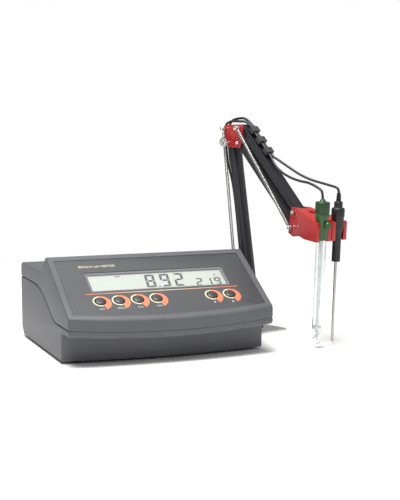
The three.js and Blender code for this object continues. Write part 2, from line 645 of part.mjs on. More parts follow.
// The clamp: a screw with a knurled head on the right, and a knurled knob on its left end.
function knurled(y0, y1) {
  const shape = new THREE.Shape();
  const teeth = 18;
  Array.from({ length: teeth * 2 }, (_, i) => {
    const angle = (i * Math.PI) / teeth;
    const radius = KNOB_RADIUS - (i % 2) * 0.5;
    return [radius * Math.cos(angle), radius * Math.sin(angle)];
  }).forEach(([x, z], i) => (i ? shape.lineTo(x, z) : shape.moveTo(x, z)));
  return sidePlate(shape, y0, y1);
}
addPin('clamp_screw', elbow, join(
  rod([0, -ELBOW_HALF, 0], [0, ELBOW_HALF, 0], PIN_RADIUS, 16),
  rod([0, -KNOB_OFFSET - KNOB_THICKNESS / 2 - 1, 0], [0, KNOB_OFFSET, 0], CLAMP_RADIUS, 16),
  knurled(KNOB_OFFSET - KNOB_THICKNESS / 2, KNOB_OFFSET + KNOB_THICKNESS / 2),
));
addPin('clamp_knob', elbow, cut(
  knurled(-KNOB_OFFSET - KNOB_THICKNESS / 2, -KNOB_OFFSET + KNOB_THICKNESS / 2),
  rod([0, -KNOB_OFFSET - 10, 0], [0, 0, 0], CLAMP_RADIUS + RUN, 16),
));

// ---- upper arm ----------------------------------------------------------------------------------

add(arm, 'upper_top_bar', bar(elbowTop, holderHigh, UPPER_BAR_DEPTH, BAR_HALF_WIDTH, 6), 'bar');
add(arm, 'upper_bottom_bar', bar(
  elbowFront, holderLow, UPPER_BAR_DEPTH, BAR_HALF_WIDTH, 6, EYE_HALF + RUN), 'bar');

const upperSlope = Math.atan2(UPPER_BAR[1], UPPER_BAR[0]);
const CLIP_STATIONS = [11.5, 28, 45.5]; // distances along the top bar from the elbow
CLIP_STATIONS.forEach((along, i) => {
  const seat = UPPER_BAR_DEPTH / 2 + GAP;
  const frame = new THREE.Matrix4().makeRotationY(-upperSlope).setPosition(
    elbowTop[0] + along * Math.cos(upperSlope), 0, elbowTop[1] + along * Math.sin(upperSlope));
  const holes = [1.5, 5.5].map((y) => rod(
    [-8, y, seat + 3.4], [8, y, seat + 3.4], LEAD_RADIUS + 0.25, 12));
  const body = cut(box(-4, 4, -2, 9, seat, seat + 6.5), ...holes);
  add(arm, `cable_clip_${i + 1}`, body.transform(frame.toArray()), 'socket');
});

// ---- electrode holder ---------------------------------------------------------------------------

const holder = new THREE.Group();
holder.position.set(holderLow[0], 0, holderLow[1]);
holder.rotation.y = HOLDER_TILT;
arm.add(holder);

// Inside the tilted holder, heights and reaches are measured from the lower holder pivot.
const untilt = new THREE.Matrix4().makeRotationY(-HOLDER_TILT);
const toHolder = ([x, z]) => {
  const p = new THREE.Vector3(x - holderLow[0], 0, z - holderLow[1]).applyMatrix4(untilt);
  return [p.x, p.z];
};
const [highX, highZ] = toHolder(holderHigh);
const seatX = ELECTRODE_REACH - holderLow[0];
const level = (z) => z - holderLow[1] + seatX * Math.sin(HOLDER_TILT);
const noseX = seatX + 3.8;
const holderSide = [
  [-5.5, -7], [2.5, -10.5], [16, -8], [seatX - 22, level(HOLDER_BOTTOM)],
  [noseX, level(HOLDER_BOTTOM)], [noseX, level(HOLDER_TOP) - 4],
  [highX + 6, highZ + 5.5], [highX - 4.5, highZ + 5.5],
];
const holderPlan = [[-8, ELBOW_HALF], [-8, -ELBOW_HALF], [0, -ELBOW_HALF], [noseX + 0.1, -HOLDER_NOSE_HALF],
  [noseX + 0.1, HOLDER_NOSE_HALF], [0, ELBOW_HALF]];
const flare = (x) => ELBOW_HALF + (x / noseX) * (HOLDER_NOSE_HALF - ELBOW_HALF);
const seatHalf = ELECTRODE_PITCH / 2;
const seatCut = (side) => join(
  rod([seatX, side * seatHalf, -60], [seatX, side * seatHalf, 60], HOLDER_BORE, 24),
  box(seatX, noseX + 10, side * seatHalf - 6.6, side * seatHalf + 6.6, -60, 60),
);
const slitX = seatX - 14;
const holderShape = new THREE.Shape(holderPlan.map(([x, y]) => new THREE.Vector2(x, y)));
const holderBody = cut(
  sidePlate(holderSide, -40, 40).intersect(flatPlate(holderShape, -60, 60)),
  box(-20, highX + 8, -slotHalf, slotHalf, -60, 60),
  seatCut(-1), seatCut(1),
  box(slitX, noseX + 10, -0.8, 0.8, -60, 60),
  rod([SPARE_REACH - holderLow[0], 0, -60], [SPARE_REACH - holderLow[0], 0, 60], SPARE_BORE, 20),
  bore([0, 0]), bore([highX, highZ]),
);
add(holder, 'electrode_holder', holderBody, 'holder');
const springReach = SPRING_OFFSET + 3;
add(holder, 'holder_low_pin', rod([0, -springReach, 0], [0, springReach, 0], PIN_RADIUS, 16), 'steel');
add(holder, 'holder_high_pin', rivet(flare(highX + 3), 2.6), 'steel');
holder.children.at(-1).position.set(highX, 0, highZ);

// ---- springs ------------------------------------------------------------------------------------

const HOOK = 3.4; // a spring stops this far short of its pins
[-1, 1].forEach((side) => {
  const name = side < 0 ? 'left' : 'right';
  const between = (from, to) => {
    const a = new THREE.Vector3(from[0], side * SPRING_OFFSET, from[1]);
    const b = new THREE.Vector3(to[0], side * SPRING_OFFSET, to[1]);
    const step = b.clone().sub(a).setLength(HOOK);
    return rod(a.add(step).toArray(), b.sub(step).toArray(), SPRING_RADIUS, 10);
  };
  add(arm, `lower_spring_${name}`, between(SPRING_PEG, elbowRear), 'steel');
  add(arm, `upper_spring_${name}`, between(elbowTop, holderLow), 'steel');
});

// ---- electrode and probe ------------------------------------------------------------------------

const seatPlace = (side) => [seatX, side * seatHalf, 0];
function addAtSeat(name, body, material, side) {
  add(holder, name, body, material);
  holder.children.at(-1).position.set(...seatPlace(side));
}

const capBottom = level(HOLDER_BOTTOM) + 2;
const shoulder = level(HOLDER_TOP) + 1;
const capTop = level(CAP_TOP);
addAtSeat('electrode_cap', cut(
  turned([
    [0, capBottom], [HOLDER_BORE - 0.9, capBottom], [HOLDER_BORE - GAP - 0.3, shoulder - GAP],
    [HOLDER_BORE - GAP, shoulder], [CAP_RADIUS - 0.3, shoulder + 3], [CAP_RADIUS - 0.3, capTop - 12],
    [CAP_RADIUS, capTop - 11.6], [CAP_RADIUS, capTop - 1], [CAP_RADIUS - 0.8, capTop],
    [4, capTop + 0.6], [2.6, capTop + 3], [0, capTop + 3],
  ], 20),
  rod([0, 0, capBottom - 5], [0, 0, capBottom + 8], GLASS_RADIUS + GAP / 2, 24),
  rod([5, 0, level(HOLDER_TOP) - 6], [12, 0, level(HOLDER_TOP) - 6], 2.4, 14),
), 'electrode', -1);
const glassTop = capBottom + 8 - GAP;
const glassBottom = capBottom - GLASS_LENGTH;
const neckZ = glassBottom + 2 * BULB_RADIUS + 4;
addAtSeat('electrode_glass', turned([
  [0, glassTop], [GLASS_RADIUS, glassTop], [GLASS_RADIUS, neckZ + 3], [GLASS_RADIUS - 1.5, neckZ],
  [3.2, glassBottom + 2 * BULB_RADIUS], [BULB_RADIUS - 0.6, glassBottom + 1.6 * BULB_RADIUS],
  [BULB_RADIUS, glassBottom + BULB_RADIUS], [BULB_RADIUS * 0.72, glassBottom + 0.3 * BULB_RADIUS],
  [0, glassBottom],
], 20), 'glass', -1);
addAtSeat('fill_plug', join(
  rod(
    [HOLDER_BORE + 0.6, 0, level(HOLDER_TOP) - 6],
    [HOLDER_BORE + 4, 0, level(HOLDER_TOP) - 6], 4.2, 20, 3.9),
  rod([5.6, 0, level(HOLDER_TOP) - 6], [HOLDER_BORE + 1, 0, level(HOLDER_TOP) - 6], 2, 14),
), 'electrode', -1);

const probeTop = level(PROBE_TOP);
const probeNeck = level(HOLDER_BOTTOM) + 8;
addAtSeat('probe_handle', cut(
  turned([
    [0, level(PROBE_NECK_BOTTOM)], [PROBE_NECK_RADIUS, level(PROBE_NECK_BOTTOM)],
    [PROBE_NECK_RADIUS, probeNeck],
    [HOLDER_BORE - 0.9, probeNeck + 6], [HOLDER_BORE - GAP, shoulder - GAP], [HOLDER_BORE - GAP, shoulder],
    [PROBE_RADIUS, shoulder + 1], [PROBE_RADIUS, probeTop - 8], [PROBE_RADIUS - 1, probeTop - 7],
    [PROBE_NECK_RADIUS, probeTop - 6.8], [PROBE_NECK_RADIUS, probeTop], [2.9, probeTop + 0.8],
    [2.2, probeTop + 10], [0, probeTop + 10],
  ], 20),
  rod([0, 0, level(PROBE_NECK_BOTTOM) - 5], [0, 0, level(PROBE_NECK_BOTTOM) + 10], ROD_RADIUS + GAP, 14),
), 'probe', 1);
addAtSeat('probe_rod', turned([
  [0, level(ROD_TIP)], [ROD_RADIUS * 0.7, level(ROD_TIP) + 0.5], [ROD_RADIUS, level(ROD_TIP) + 1.6],
  [ROD_RADIUS, level(PROBE_NECK_BOTTOM) + 9.5], [0, level(PROBE_NECK_BOTTOM) + 9.5],
], 12), 'steel', 1);

// ---- leads --------------------------------------------------------------------------------------

arm.updateMatrixWorld(true);
const inArm = ([x, y, z]) => new THREE.Vector3(x, y, z).applyMatrix4(arm.matrixWorld);
const inCase = ([x, y, z]) => new THREE.Vector3(x, y, z);

function leadTube(points, steps) {
  const circle = new THREE.Shape();
  circle.absarc(0, 0, LEAD_RADIUS, 0, 2 * Math.PI);
  const path = new THREE.CatmullRomCurve3(points, false, 'centripetal');
  const settings = { steps, bevelEnabled: false, extrudePath: path, curveSegments: 4 };
  return solid(new THREE.ExtrudeGeometry(circle, settings));
}

const tailY = CASE_REAR_Y + GAP + PLUG_START + PLUG_LENGTH + 8 + GAP;
const [coilX, coilY] = COIL_CENTRE;
const leadZ = LEAD_RADIUS + 0.1;
const LEAD_ON_PLATE = PLATE_THICKNESS + LEAD_RADIUS + 2 * GAP;
const coilTop = 0.1 + COIL_LAYERS * 2 * LEAD_RADIUS + 0.4;
add(instrument, 'lead_coil', turned([
  [COIL_INNER, 0.1], [COIL_OUTER, 0.1], [COIL_OUTER, coilTop], [COIL_INNER, coilTop], [COIL_INNER, 0.1],
], 24), 'lead');
instrument.children.at(-1).position.set(coilX, coilY, 0);

const electrodeTail = [
  [ELECTRODE_SOCKET_X, tailY, SOCKET_Z], [ELECTRODE_SOCKET_X, tailY + 6, SOCKET_Z - 1],
  [ELECTRODE_SOCKET_X + 1, tailY + 14, SOCKET_Z - 9], [ELECTRODE_SOCKET_X + 3, tailY + 20, SOCKET_Z - 26],
  [ELECTRODE_SOCKET_X + 7, tailY + 23, 8], [ELECTRODE_SOCKET_X + 14, tailY + 25, leadZ + 1],
  [coilX - 12, coilY + COIL_OUTER + 3.4, leadZ], [coilX - 1, coilY + COIL_OUTER + 1.9, leadZ],
].map(inCase);
const probeTail = [
  [PROBE_SOCKET_X, tailY, SOCKET_Z], [PROBE_SOCKET_X, tailY + 6, SOCKET_Z - 1],
  [PROBE_SOCKET_X + 2, tailY + 13, SOCKET_Z - 10], [PROBE_SOCKET_X + 6, tailY + 18, SOCKET_Z - 27],
  [PROBE_SOCKET_X + 13, tailY + 21, 8], [PROBE_SOCKET_X + 22, tailY + 21, leadZ + 1],
  [coilX - COIL_OUTER - 9, coilY + 14, leadZ], [coilX - COIL_OUTER - 1.9, coilY + 4, leadZ],
].map(inCase);
add(instrument, 'electrode_tail', leadTube(electrodeTail, 18), 'lead');
add(instrument, 'probe_tail', leadTube(probeTail, 18), 'lead');

// From the coil to the arm's foot, up behind the lower bar, over the elbow and through the clips.
const clipHeight = UPPER_BAR_DEPTH / 2 + GAP + 3.4;
const clipPoint = (along, y) => [
  elbowTop[0] + along * Math.cos(upperSlope) - clipHeight * Math.sin(upperSlope), y,
  elbowTop[1] + along * Math.sin(upperSlope) + clipHeight * Math.cos(upperSlope),
];
const throughClips = (y) => [
  CLIP_STATIONS[0] - 8.5, CLIP_STATIONS[0] - 4.4, CLIP_STATIONS[0] + 4.4, CLIP_STATIONS[1],
  CLIP_STATIONS[2] - 4.4, CLIP_STATIONS[2] + 4.4, CLIP_STATIONS[2] + 8.5,
].map((along) => clipPoint(along, y));
const behindBar = (share, back, y) => [
  LOWER_PIVOT[0] + share * LOWER_BAR[0] - back, y, LOWER_PIVOT[1] + share * LOWER_BAR[1]];
const capHead = new THREE.Vector3(seatX, -seatHalf, capTop + 3 + 2 * GAP).applyMatrix4(
  new THREE.Matrix4().makeRotationY(HOLDER_TILT).setPosition(holderLow[0], 0, holderLow[1]));
const probeHead = new THREE.Vector3(seatX, seatHalf, probeTop + 10 + 2 * GAP).applyMatrix4(
  new THREE.Matrix4().makeRotationY(HOLDER_TILT).setPosition(holderLow[0], 0, holderLow[1]));

const electrodeLead = [
  inCase([coilX + 18, coilY - 12.6, leadZ]),
  inCase([coilX + 13.5, coilY - 26, leadZ]),
  inCase([coilX + 12, coilY - 40, leadZ]),
  ...[
    [-68, -4, LEAD_ON_PLATE], [-46, -3, LEAD_ON_PLATE], [-33, -2, 10], [-24, -2, 24],
    behindBar(0, 23, -2), behindBar(0.15, 12, -2),
    behindBar(0.4, 9, -2), behindBar(0.7, 9, -2), behindBar(0.9, 14, -2),
    [elbowRear[0] - 7.4, -2, elbowRear[1] - 3], [elbowRear[0] - 6, -2.5, elbowRear[1] + 5.4],
    [-33, -2.5, 256.4], [-25, -2.4, 257], [-17, -2, 256.8], [-9.5, 0, 256.4], ...throughClips(1.5),
    [43, -1.5, 206], [57, -4, 198], [74.5, -7, 192.5], [91.7, -10, 189.5], [108, -12.5, 188],
    [120, -13.2, 184.5], [capHead.x - 2, -13.2, capHead.z + 9], [capHead.x, -13.2, capHead.z],
  ].map(inArm),
];
const probeLead = [
  inCase([coilX + COIL_OUTER + 1.9, coilY - 1, leadZ + 3]),
  inCase([coilX + COIL_OUTER + 3, coilY - 14, leadZ + 1]),
  inCase([coilX + COIL_OUTER + 4, coilY - 34, leadZ]),
  ...[
    [-68, 5, LEAD_ON_PLATE], [-46, 4, LEAD_ON_PLATE], [-33, 3, 10], [-24, 2.5, 24],
    behindBar(0, 23, 2), behindBar(0.15, 12, 2),
    behindBar(0.4, 9, 2), behindBar(0.7, 9, 2), behindBar(0.9, 14, 2.5),
    [elbowRear[0] - 7, 3, elbowRear[1] - 2], [elbowRear[0] - 3, 3.5, elbowRear[1] + 9],
    [-23, 4.5, 260.5], [-14, 5, 259.6], ...throughClips(5.5),
    [43, 6.5, 210.5], [57, 7.5, 203.5], [74, 9, 195.5], [90, 11, 190], [104, 12.5, 187], [115, 13.2, 185],
    [probeHead.x - 1.5, 13.2, probeHead.z + 4.5], [probeHead.x, 13.2, probeHead.z],
  ].map(inArm),
];
add(instrument, 'electrode_lead', leadTube(electrodeLead, 66), 'lead');
add(instrument, 'probe_lead', leadTube(probeLead, 66), 'lead');

// The frame's origin: on the table, at the middle of the instrument and its arm without the leads.
const onLeads = /lead|tail|plug$/;
const extent = new THREE.Box3();
instrument.updateMatrixWorld(true);
instrument.traverse((node) => {
  const part = !onLeads.test(node.name) || node.name === 'fill_plug';
  if (node.isMesh && part) extent.expandByObject(node, true);
});
const middle = extent.getCenter(new THREE.Vector3());
instrument.position.set(-middle.x, -middle.y, 0);

export default instrument;
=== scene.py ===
"""Bench pH meter with a swinging electrode arm: the looks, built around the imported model.

Lengths are in metres, and in millimetres where a function or a comment says so.
"""
import json
import math

import bpy
from bpy.props import FloatProperty, FloatVectorProperty, IntProperty, PointerProperty
from mathutils import Matrix, Vector


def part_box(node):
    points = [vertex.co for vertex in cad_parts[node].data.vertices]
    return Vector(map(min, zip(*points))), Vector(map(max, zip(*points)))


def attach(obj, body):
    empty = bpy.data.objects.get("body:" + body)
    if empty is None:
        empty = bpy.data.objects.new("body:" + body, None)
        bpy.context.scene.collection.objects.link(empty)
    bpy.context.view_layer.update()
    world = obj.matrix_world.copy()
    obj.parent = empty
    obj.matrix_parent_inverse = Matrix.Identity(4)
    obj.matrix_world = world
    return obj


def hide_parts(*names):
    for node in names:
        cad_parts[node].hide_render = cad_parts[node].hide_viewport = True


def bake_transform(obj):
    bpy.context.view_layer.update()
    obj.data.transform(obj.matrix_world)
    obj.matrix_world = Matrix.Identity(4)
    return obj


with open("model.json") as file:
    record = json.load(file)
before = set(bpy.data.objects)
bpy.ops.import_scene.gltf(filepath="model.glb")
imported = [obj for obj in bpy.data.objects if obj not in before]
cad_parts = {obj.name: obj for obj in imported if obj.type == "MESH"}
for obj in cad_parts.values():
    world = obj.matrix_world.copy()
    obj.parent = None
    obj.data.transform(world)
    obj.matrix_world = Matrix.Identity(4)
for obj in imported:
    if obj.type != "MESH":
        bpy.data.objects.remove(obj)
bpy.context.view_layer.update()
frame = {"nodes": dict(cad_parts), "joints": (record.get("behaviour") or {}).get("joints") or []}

bl_info = {
    "name": "Bench pH Meter",
    "version": (1, 0, 0),
    "blender": (4, 5, 0),
    "location": "View3D > Sidebar > pH Meter",
    "description": "Models a bench pH meter with its electrode arm, electrode and temperature probe",
    "category": "Add Mesh",
}

MM = 0.001

# ---- places: from the frame, or in mm as in the CAD model ---------------------------------------

PIVOT = {joint["name"]: Vector(joint["pos_m"]) for joint in frame["joints"] if "pos_m" in joint}
CASE_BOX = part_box("upper_case")
CASE_REAR = 111            # mm from the case's own origin to its back
RIDGE = (-7.5, 109)        # mm, the panel's top edge in the case's own Y and Z
PANEL_SLOPE = math.radians(30.25)
ARM_TURN = math.radians(-70)
HOLDER_TILT = math.radians(2.6)


def plus(start, step):
    """A place in the arm's side view, (forward, up), moved by a step."""
    return start[0] + step[0], start[1] + step[1]


LOWER_PIVOT = (2, 50)
LOWER_BAR = (-30.5, 181.5)
UPPER_BAR = (93, -96)
UPPER_BAR_DEPTH = 8.5
TIE_FOOT = plus(LOWER_PIVOT, (7, -0.5))
ELBOW_PIVOT = plus(LOWER_PIVOT, LOWER_BAR)
ELBOW_REAR = plus(ELBOW_PIVOT, (-6.1, 16))
ELBOW_FRONT = plus(ELBOW_PIVOT, (14.5, -0.5))
ELBOW_TOP = plus(ELBOW_FRONT, (3.4, 18))
HOLDER_LOW = plus(ELBOW_FRONT, UPPER_BAR)
HOLDER_TOP = 148
HOLDER_BOTTOM = 122.8
GLASS_LENGTH = 120.8
PIN_RADIUS = 2
REAR_PIN_RADIUS = 1.7
YOKE_REACH = 9.7           # mm from the arm's middle to the heads of the yoke's pins
ELBOW_REACH = 9.45         # the same for the elbow's rivet
SPRING_REACH = 16.3        # the same for the pins that hold the springs
SPRING_PEG = (-9, 46)
SPRING_OFFSET = 13.2
SEAT_REACH = 50.2          # mm from the lower holder pivot to the electrodes
SEAT_HALF_PITCH = 13.2
LEVEL = 132.723            # mm, height of the tilted holder's own zero at the electrodes

case_origin = Vector(((CASE_BOX[0].x + CASE_BOX[1].x) / 2, CASE_BOX[1].y - CASE_REAR * MM, 0))
swivel = PIVOT["arm_swivel"]
PANEL = (Matrix.Translation(case_origin + Vector((0, RIDGE[0], RIDGE[1])) * MM)
         @ Matrix.Rotation(PANEL_SLOPE, 4, "X"))
ARM = Matrix.Translation((swivel.x, swivel.y, 0)) @ Matrix.Rotation(ARM_TURN, 4, "Z")
HOLDER = (ARM @ Matrix.Translation(Vector((HOLDER_LOW[0], 0, HOLDER_LOW[1])) * MM)
          @ Matrix.Rotation(HOLDER_TILT, 4, "Y"))
ALONG_SIDE = Matrix.Rotation(math.radians(-90), 4, "X")    # turns a piece's Z to the arm's right
ALONG_FRONT = Matrix.Rotation(math.radians(90), 4, "Y")    # turns a piece's Z to the holder's front
ALONG_REAR = Matrix.Rotation(math.radians(-90), 4, "X")    # turns a piece's Z to the case's rear


def moved(x, y, z):
    """A shift given in millimetres."""
    return Matrix.Translation(Vector((x, y, z)) * MM)


def in_case(x, y, z):
    """A point of the case's own frame, in millimetres, as a point of the row frame."""
    return case_origin + Vector((x, y, z)) * MM


def in_arm(forward, right, up):
    """A point of the arm's own frame, in millimetres, as a point of the row frame."""
    return ARM @ (Vector((forward, right, up)) * MM)


def seat(side):
    """Where the electrode (-1) or the probe (+1) stands in the holder."""
    return HOLDER @ moved(SEAT_REACH, side * SEAT_HALF_PITCH, 0)


# ---- sizes and colours that can be changed ------------------------------------------------------

def colour(name, value):
    """A colour property."""
    return FloatVectorProperty(name=name, subtype="COLOR", size=3, min=0, max=1, default=value,
                               description=f"Base colour of {name.lower()}")


def length(name, value, description):
    """A length property, in metres."""
    return FloatProperty(name=name, unit="LENGTH", default=value, min=0.0, precision=5,
                         description=description)


class CaseLooks(bpy.types.PropertyGroup):
    housing: colour("Housing", (0.076, 0.077, 0.084))
    rubber: colour("Feet", (0.02, 0.02, 0.02))
    edge: length("Edge radius", 0.0007, "Rounding of the case's edges")


class PanelLooks(bpy.types.PropertyGroup):
    overlay: colour("Overlay", (0.052, 0.053, 0.056))
    accent: colour("Accent print", (0.56, 0.16, 0.075))
    pale: colour("Pale print", (0.48, 0.46, 0.30))
    caption: colour("Caption print", (0.42, 0.42, 0.42))
    display: colour("Display", (0.34, 0.37, 0.33))
    digits: colour("Digits", (0.012, 0.012, 0.014))
    print_height: length("Print thickness", 0.00006, "Thickness of the printed marks")


class ArmLooks(bpy.types.PropertyGroup):
    red: colour("Red mouldings", (0.36, 0.010, 0.009))
    anodised: colour("Anodised bars", (0.050, 0.050, 0.055))
    edge: length("Moulding edge", 0.0006, "Rounding of the red mouldings' edges")
    wire: length("Spring wire", 0.0007, "Diameter of the spring wire")
    spring: length("Spring", 0.004, "Outer diameter of the springs")


class ElectrodeLooks(bpy.types.PropertyGroup):
    green: colour("Electrode cap", (0.012, 0.066, 0.010))
    black: colour("Probe handle", (0.006, 0.006, 0.006))
    wall: length("Glass wall", 0.0008, "Wall of the electrode's glass")


class LeadLooks(bpy.types.PropertyGroup):
    sheath: colour("Lead sheath", (0.014, 0.014, 0.016))
    diameter: length("Lead diameter", 0.003, "Diameter of both leads")
    outer_turn: length("Outer turn", 0.0181, "Radius of the coil's outer turns")
    inner_turn: length("Inner turn", 0.0150, "Radius of the coil's inner turns")


class StageLooks(bpy.types.PropertyGroup):
    floor_size: length("Floor size", 60.0, "Side of the floor")
    key: FloatProperty(name="Key light", unit="POWER", default=56.0, min=0,
                       description="Power of the main light")
    fill: FloatProperty(name="Fill light", unit="POWER", default=3.0, min=0,
                        description="Power of the fill light")
    sky: FloatProperty(name="Sky", default=0.42, min=0, description="Strength of the even light all round")
    blades: IntProperty(name="Tube sides", default=10, min=6, max=16, description="Sides of each lead's tube")


GROUPS = {"case": CaseLooks, "panel": PanelLooks, "arm": ArmLooks, "electrode": ElectrodeLooks,
          "leads": LeadLooks, "stage": StageLooks}


def looks(context, group):
    """One group of the scene's settings."""
    return getattr(context.scene, f"ph_meter_{group}")


# ---- materials ----------------------------------------------------------------------------------

def new_material(name):
    """An empty material with its shader."""
    material = bpy.data.materials.new(name)
    material.use_nodes = True
    return material, material.node_tree, material.node_tree.nodes["Principled BSDF"]


def adjust(node, **values):
    """Sets a shader node's inputs, with _ for each blank in their names."""
    for name, value in values.items():
        node.inputs[name.replace("_", " ")].default_value = value
    return node


def link(tree, start, output, end, socket):
    """Joins one node's output to another's input."""
    tree.links.new(start.outputs[output], end.inputs[socket])


def bumps(tree, grain, shader, strength, distance):
    """Lets a noise raise the surface."""
    bump = adjust(tree.nodes.new("ShaderNodeBump"), Strength=strength, Distance=distance)
    link(tree, grain, "Fac", bump, "Height")
    link(tree, bump, "Normal", shader, "Normal")


def noise(tree, scale, stretch=(1, 1, 1), turn=(0, 0, 0), detail=2.0):
    """A noise on the piece's own coordinates; stretch pulls it along an axis."""
    place = tree.nodes.new("ShaderNodeTexCoord")
    mapping = tree.nodes.new("ShaderNodeMapping")
    mapping.vector_type = "TEXTURE"
    adjust(mapping, Scale=stretch, Rotation=turn)
    grain = adjust(tree.nodes.new("ShaderNodeTexNoise"), Scale=scale, Detail=detail)
    link(tree, place, "Object", mapping, "Vector")
    link(tree, mapping, "Vector", grain, "Vector")
    return grain


def surface(name, base, roughness, grain=0.0003, depth=0.12, metallic=0.0, mottle=0.06, spread=0.05,
            stretch=(1, 1, 1), turn=(0, 0, 0), coat=0.0):
    """A moulded, painted or metal surface: fine grain, slow colour variation and uneven gloss."""
    material, tree, shader = new_material(name)
    adjust(shader, Metallic=metallic, Coat_Weight=coat)
    slow = noise(tree, 22, stretch, turn, 3.0)
    tint = tree.nodes.new("ShaderNodeValToRGB")
    for element, position, gain in zip(tint.color_ramp.elements, (0.3, 0.7), (1 - mottle, 1 + mottle)):
        element.position = position
        element.color = (*[min(1, c * gain) for c in base], 1)
    link(tree, slow, "Fac", tint, "Fac")
    link(tree, tint, "Color", shader, "Base Color")
    fine = noise(tree, 1 / grain, stretch, turn)
    gloss = adjust(tree.nodes.new("ShaderNodeMapRange"), From_Min=0.3, From_Max=0.7,
                   To_Min=max(0.02, roughness - spread), To_Max=min(1.0, roughness + spread))
    link(tree, fine, "Fac", gloss, "Value")
    link(tree, gloss, "Result", shader, "Roughness")
    bumps(tree, fine, shader, depth, grain)
    return material


def clear(name, base, roughness=0.02, alpha=1.0, transmission=1.0, ior=1.47):
    """Glass or a clear window, with faint waves in its surface."""
    material, tree, shader = new_material(name)
    adjust(shader, Base_Color=(*base, 1), Roughness=roughness, Transmission_Weight=transmission, IOR=ior,
           Alpha=alpha)
    bumps(tree, noise(tree, 60, detail=1.0), shader, 0.03, 0.0005)
    return material


LINE_SPAN = 0.14           # m, over which the printed line changes its colour


def accent_line(name, accent, pale):
    """Print that runs from the accent colour through pale in the middle and back."""
    material, tree, shader = new_material(name)
    adjust(shader, Roughness=0.5)
    place = tree.nodes.new("ShaderNodeTexCoord")
    mapping = tree.nodes.new("ShaderNodeMapping")
    adjust(mapping, Location=(0.5 - case_origin.x / LINE_SPAN, 0, 0), Scale=(1 / LINE_SPAN, 0, 0))
    split = tree.nodes.new("ShaderNodeSeparateXYZ")
    ramp = tree.nodes.new("ShaderNodeValToRGB")
    ramp.color_ramp.elements[0].color = (*accent, 1)
    ramp.color_ramp.elements[1].color = (*accent, 1)
    ramp.color_ramp.elements.new(0.5).color = (*pale, 1)
    link(tree, place, "Object", mapping, "Vector")
    link(tree, mapping, "Vector", split, "Vector")
    link(tree, split, "X", ramp, "Fac")
    link(tree, ramp, "Color", shader, "Base Color")
    return material


def made(name, make, *values, **settings):
    """A material made the first time that it is asked for."""
    return bpy.data.materials.get(name) or make(name, *values, **settings)


def steel(name="spring_steel", tone=0.62, roughness=0.3):
    """Bright bare steel with fine drawn lines."""
    return made(name, surface, (tone, tone * 0.98, tone * 0.95), roughness, grain=0.0002, depth=0.08,
                metallic=1.0, mottle=0.05, stretch=(1, 1, 6))


def red_moulding(context):
    """The elbow's and the holder's red plastic."""
    return made("red_moulding", surface, looks(context, "arm").red, 0.36, grain=0.0005, depth=0.06, coat=0.15)


def black_moulding(context):
    """The black plastic of the plugs, the yoke and the probe's handle."""
    return made("black_moulding", surface, looks(context, "electrode").black, 0.5, grain=0.0004, depth=0.05)


def anodised(context, name, lean):
    """Black anodised bar with fine lines along it."""
    return made(name, surface, looks(context, "arm").anodised, 0.38, grain=0.00025, depth=0.1, metallic=0.7,
                mottle=0.12, stretch=(14, 1, 1), turn=(0, lean, ARM_TURN))


# ---- modelling helpers --------------------------------------------------------------------------

def select_only(*pieces):
    """Leaves only these objects selected, the last one active."""
    bpy.ops.object.select_all(action="DESELECT")
    for piece in pieces:
        piece.select_set(True)
    bpy.context.view_layer.objects.active = pieces[-1]


def settle(piece, name, place=Matrix()):
    """Names a piece and puts its place into its mesh."""
    piece.name = name
    piece.data.name = name
    piece.matrix_world = place @ piece.matrix_world
    select_only(piece)
    bpy.ops.object.transform_apply(location=True, rotation=True, scale=True)
    return piece


def smooth(piece, angle=35):
    """Smooth shading, with edges sharper than the angle kept."""
    select_only(piece)
    bpy.ops.object.shade_smooth_by_angle(angle=math.radians(angle))
    return piece


def bevel(piece, width, segments=3, angle=30, clamp=True):
    """Rounds the sharp edges by a width in metres."""
    select_only(piece)
    modifier = piece.modifiers.new("edges", "BEVEL")
    modifier.width = width
    modifier.segments = segments
    modifier.limit_method = "ANGLE"
    modifier.angle_limit = math.radians(angle)
    modifier.use_clamp_overlap = clamp
    bpy.ops.object.modifier_apply(modifier=modifier.name)
    return piece


def turned(name, profile, place=Matrix(), sides=48, angle=35):
    """A round piece: a disc extruded and resized up its profile of (radius, height), in millimetres."""
    (radius, height), *rest = profile
    bpy.ops.object.select_all(action="DESELECT")
    bpy.ops.mesh.primitive_circle_add(vertices=sides, radius=radius * MM, fill_type="NGON")
    bpy.ops.object.mode_set(mode="EDIT")
    bpy.ops.mesh.select_all(action="SELECT")
    bpy.ops.transform.translate(value=(0, 0, height * MM))
    for next_radius, next_height in rest:
        rise = (0, 0, (next_height - height) * MM)
        bpy.ops.mesh.extrude_region_move(TRANSFORM_OT_translate={"value": rise, "orient_type": "GLOBAL"})
        scale = next_radius / radius
        bpy.ops.transform.resize(value=(scale, scale, 1), center_override=(0, 0, next_height * MM))
        radius, height = next_radius, next_height
    bpy.ops.mesh.select_all(action="SELECT")
    bpy.ops.mesh.normals_make_consistent(inside=False)
    bpy.ops.object.mode_set(mode="OBJECT")
    return smooth(settle(bpy.context.object, name, place), angle)


def rounded(radius, low, high, soft=0.4, steps=3):
    """The profile of a plain disc or rod with rounded rims."""
    turns = [math.pi / 2 * i / steps for i in range(steps + 1)]
    below = [(radius - soft + soft * math.sin(a), low + soft - soft * math.cos(a)) for a in turns]
    above = [(radius - soft + soft * math.cos(a), high - soft + soft * math.sin(a)) for a in turns]
    return below + above


def ribbed(radius, foot, pitch, count, taper, depth, crest, fall, root):
    """The profile of a ribbed stretch: each rib ends at crest, falls by depth and the groove ends at root."""
    return [(radius - taper * i - drop, foot + i * pitch + step) for i in range(count)
            for drop, step in ((0, 0), (0, crest), (depth, fall), (depth, root))]


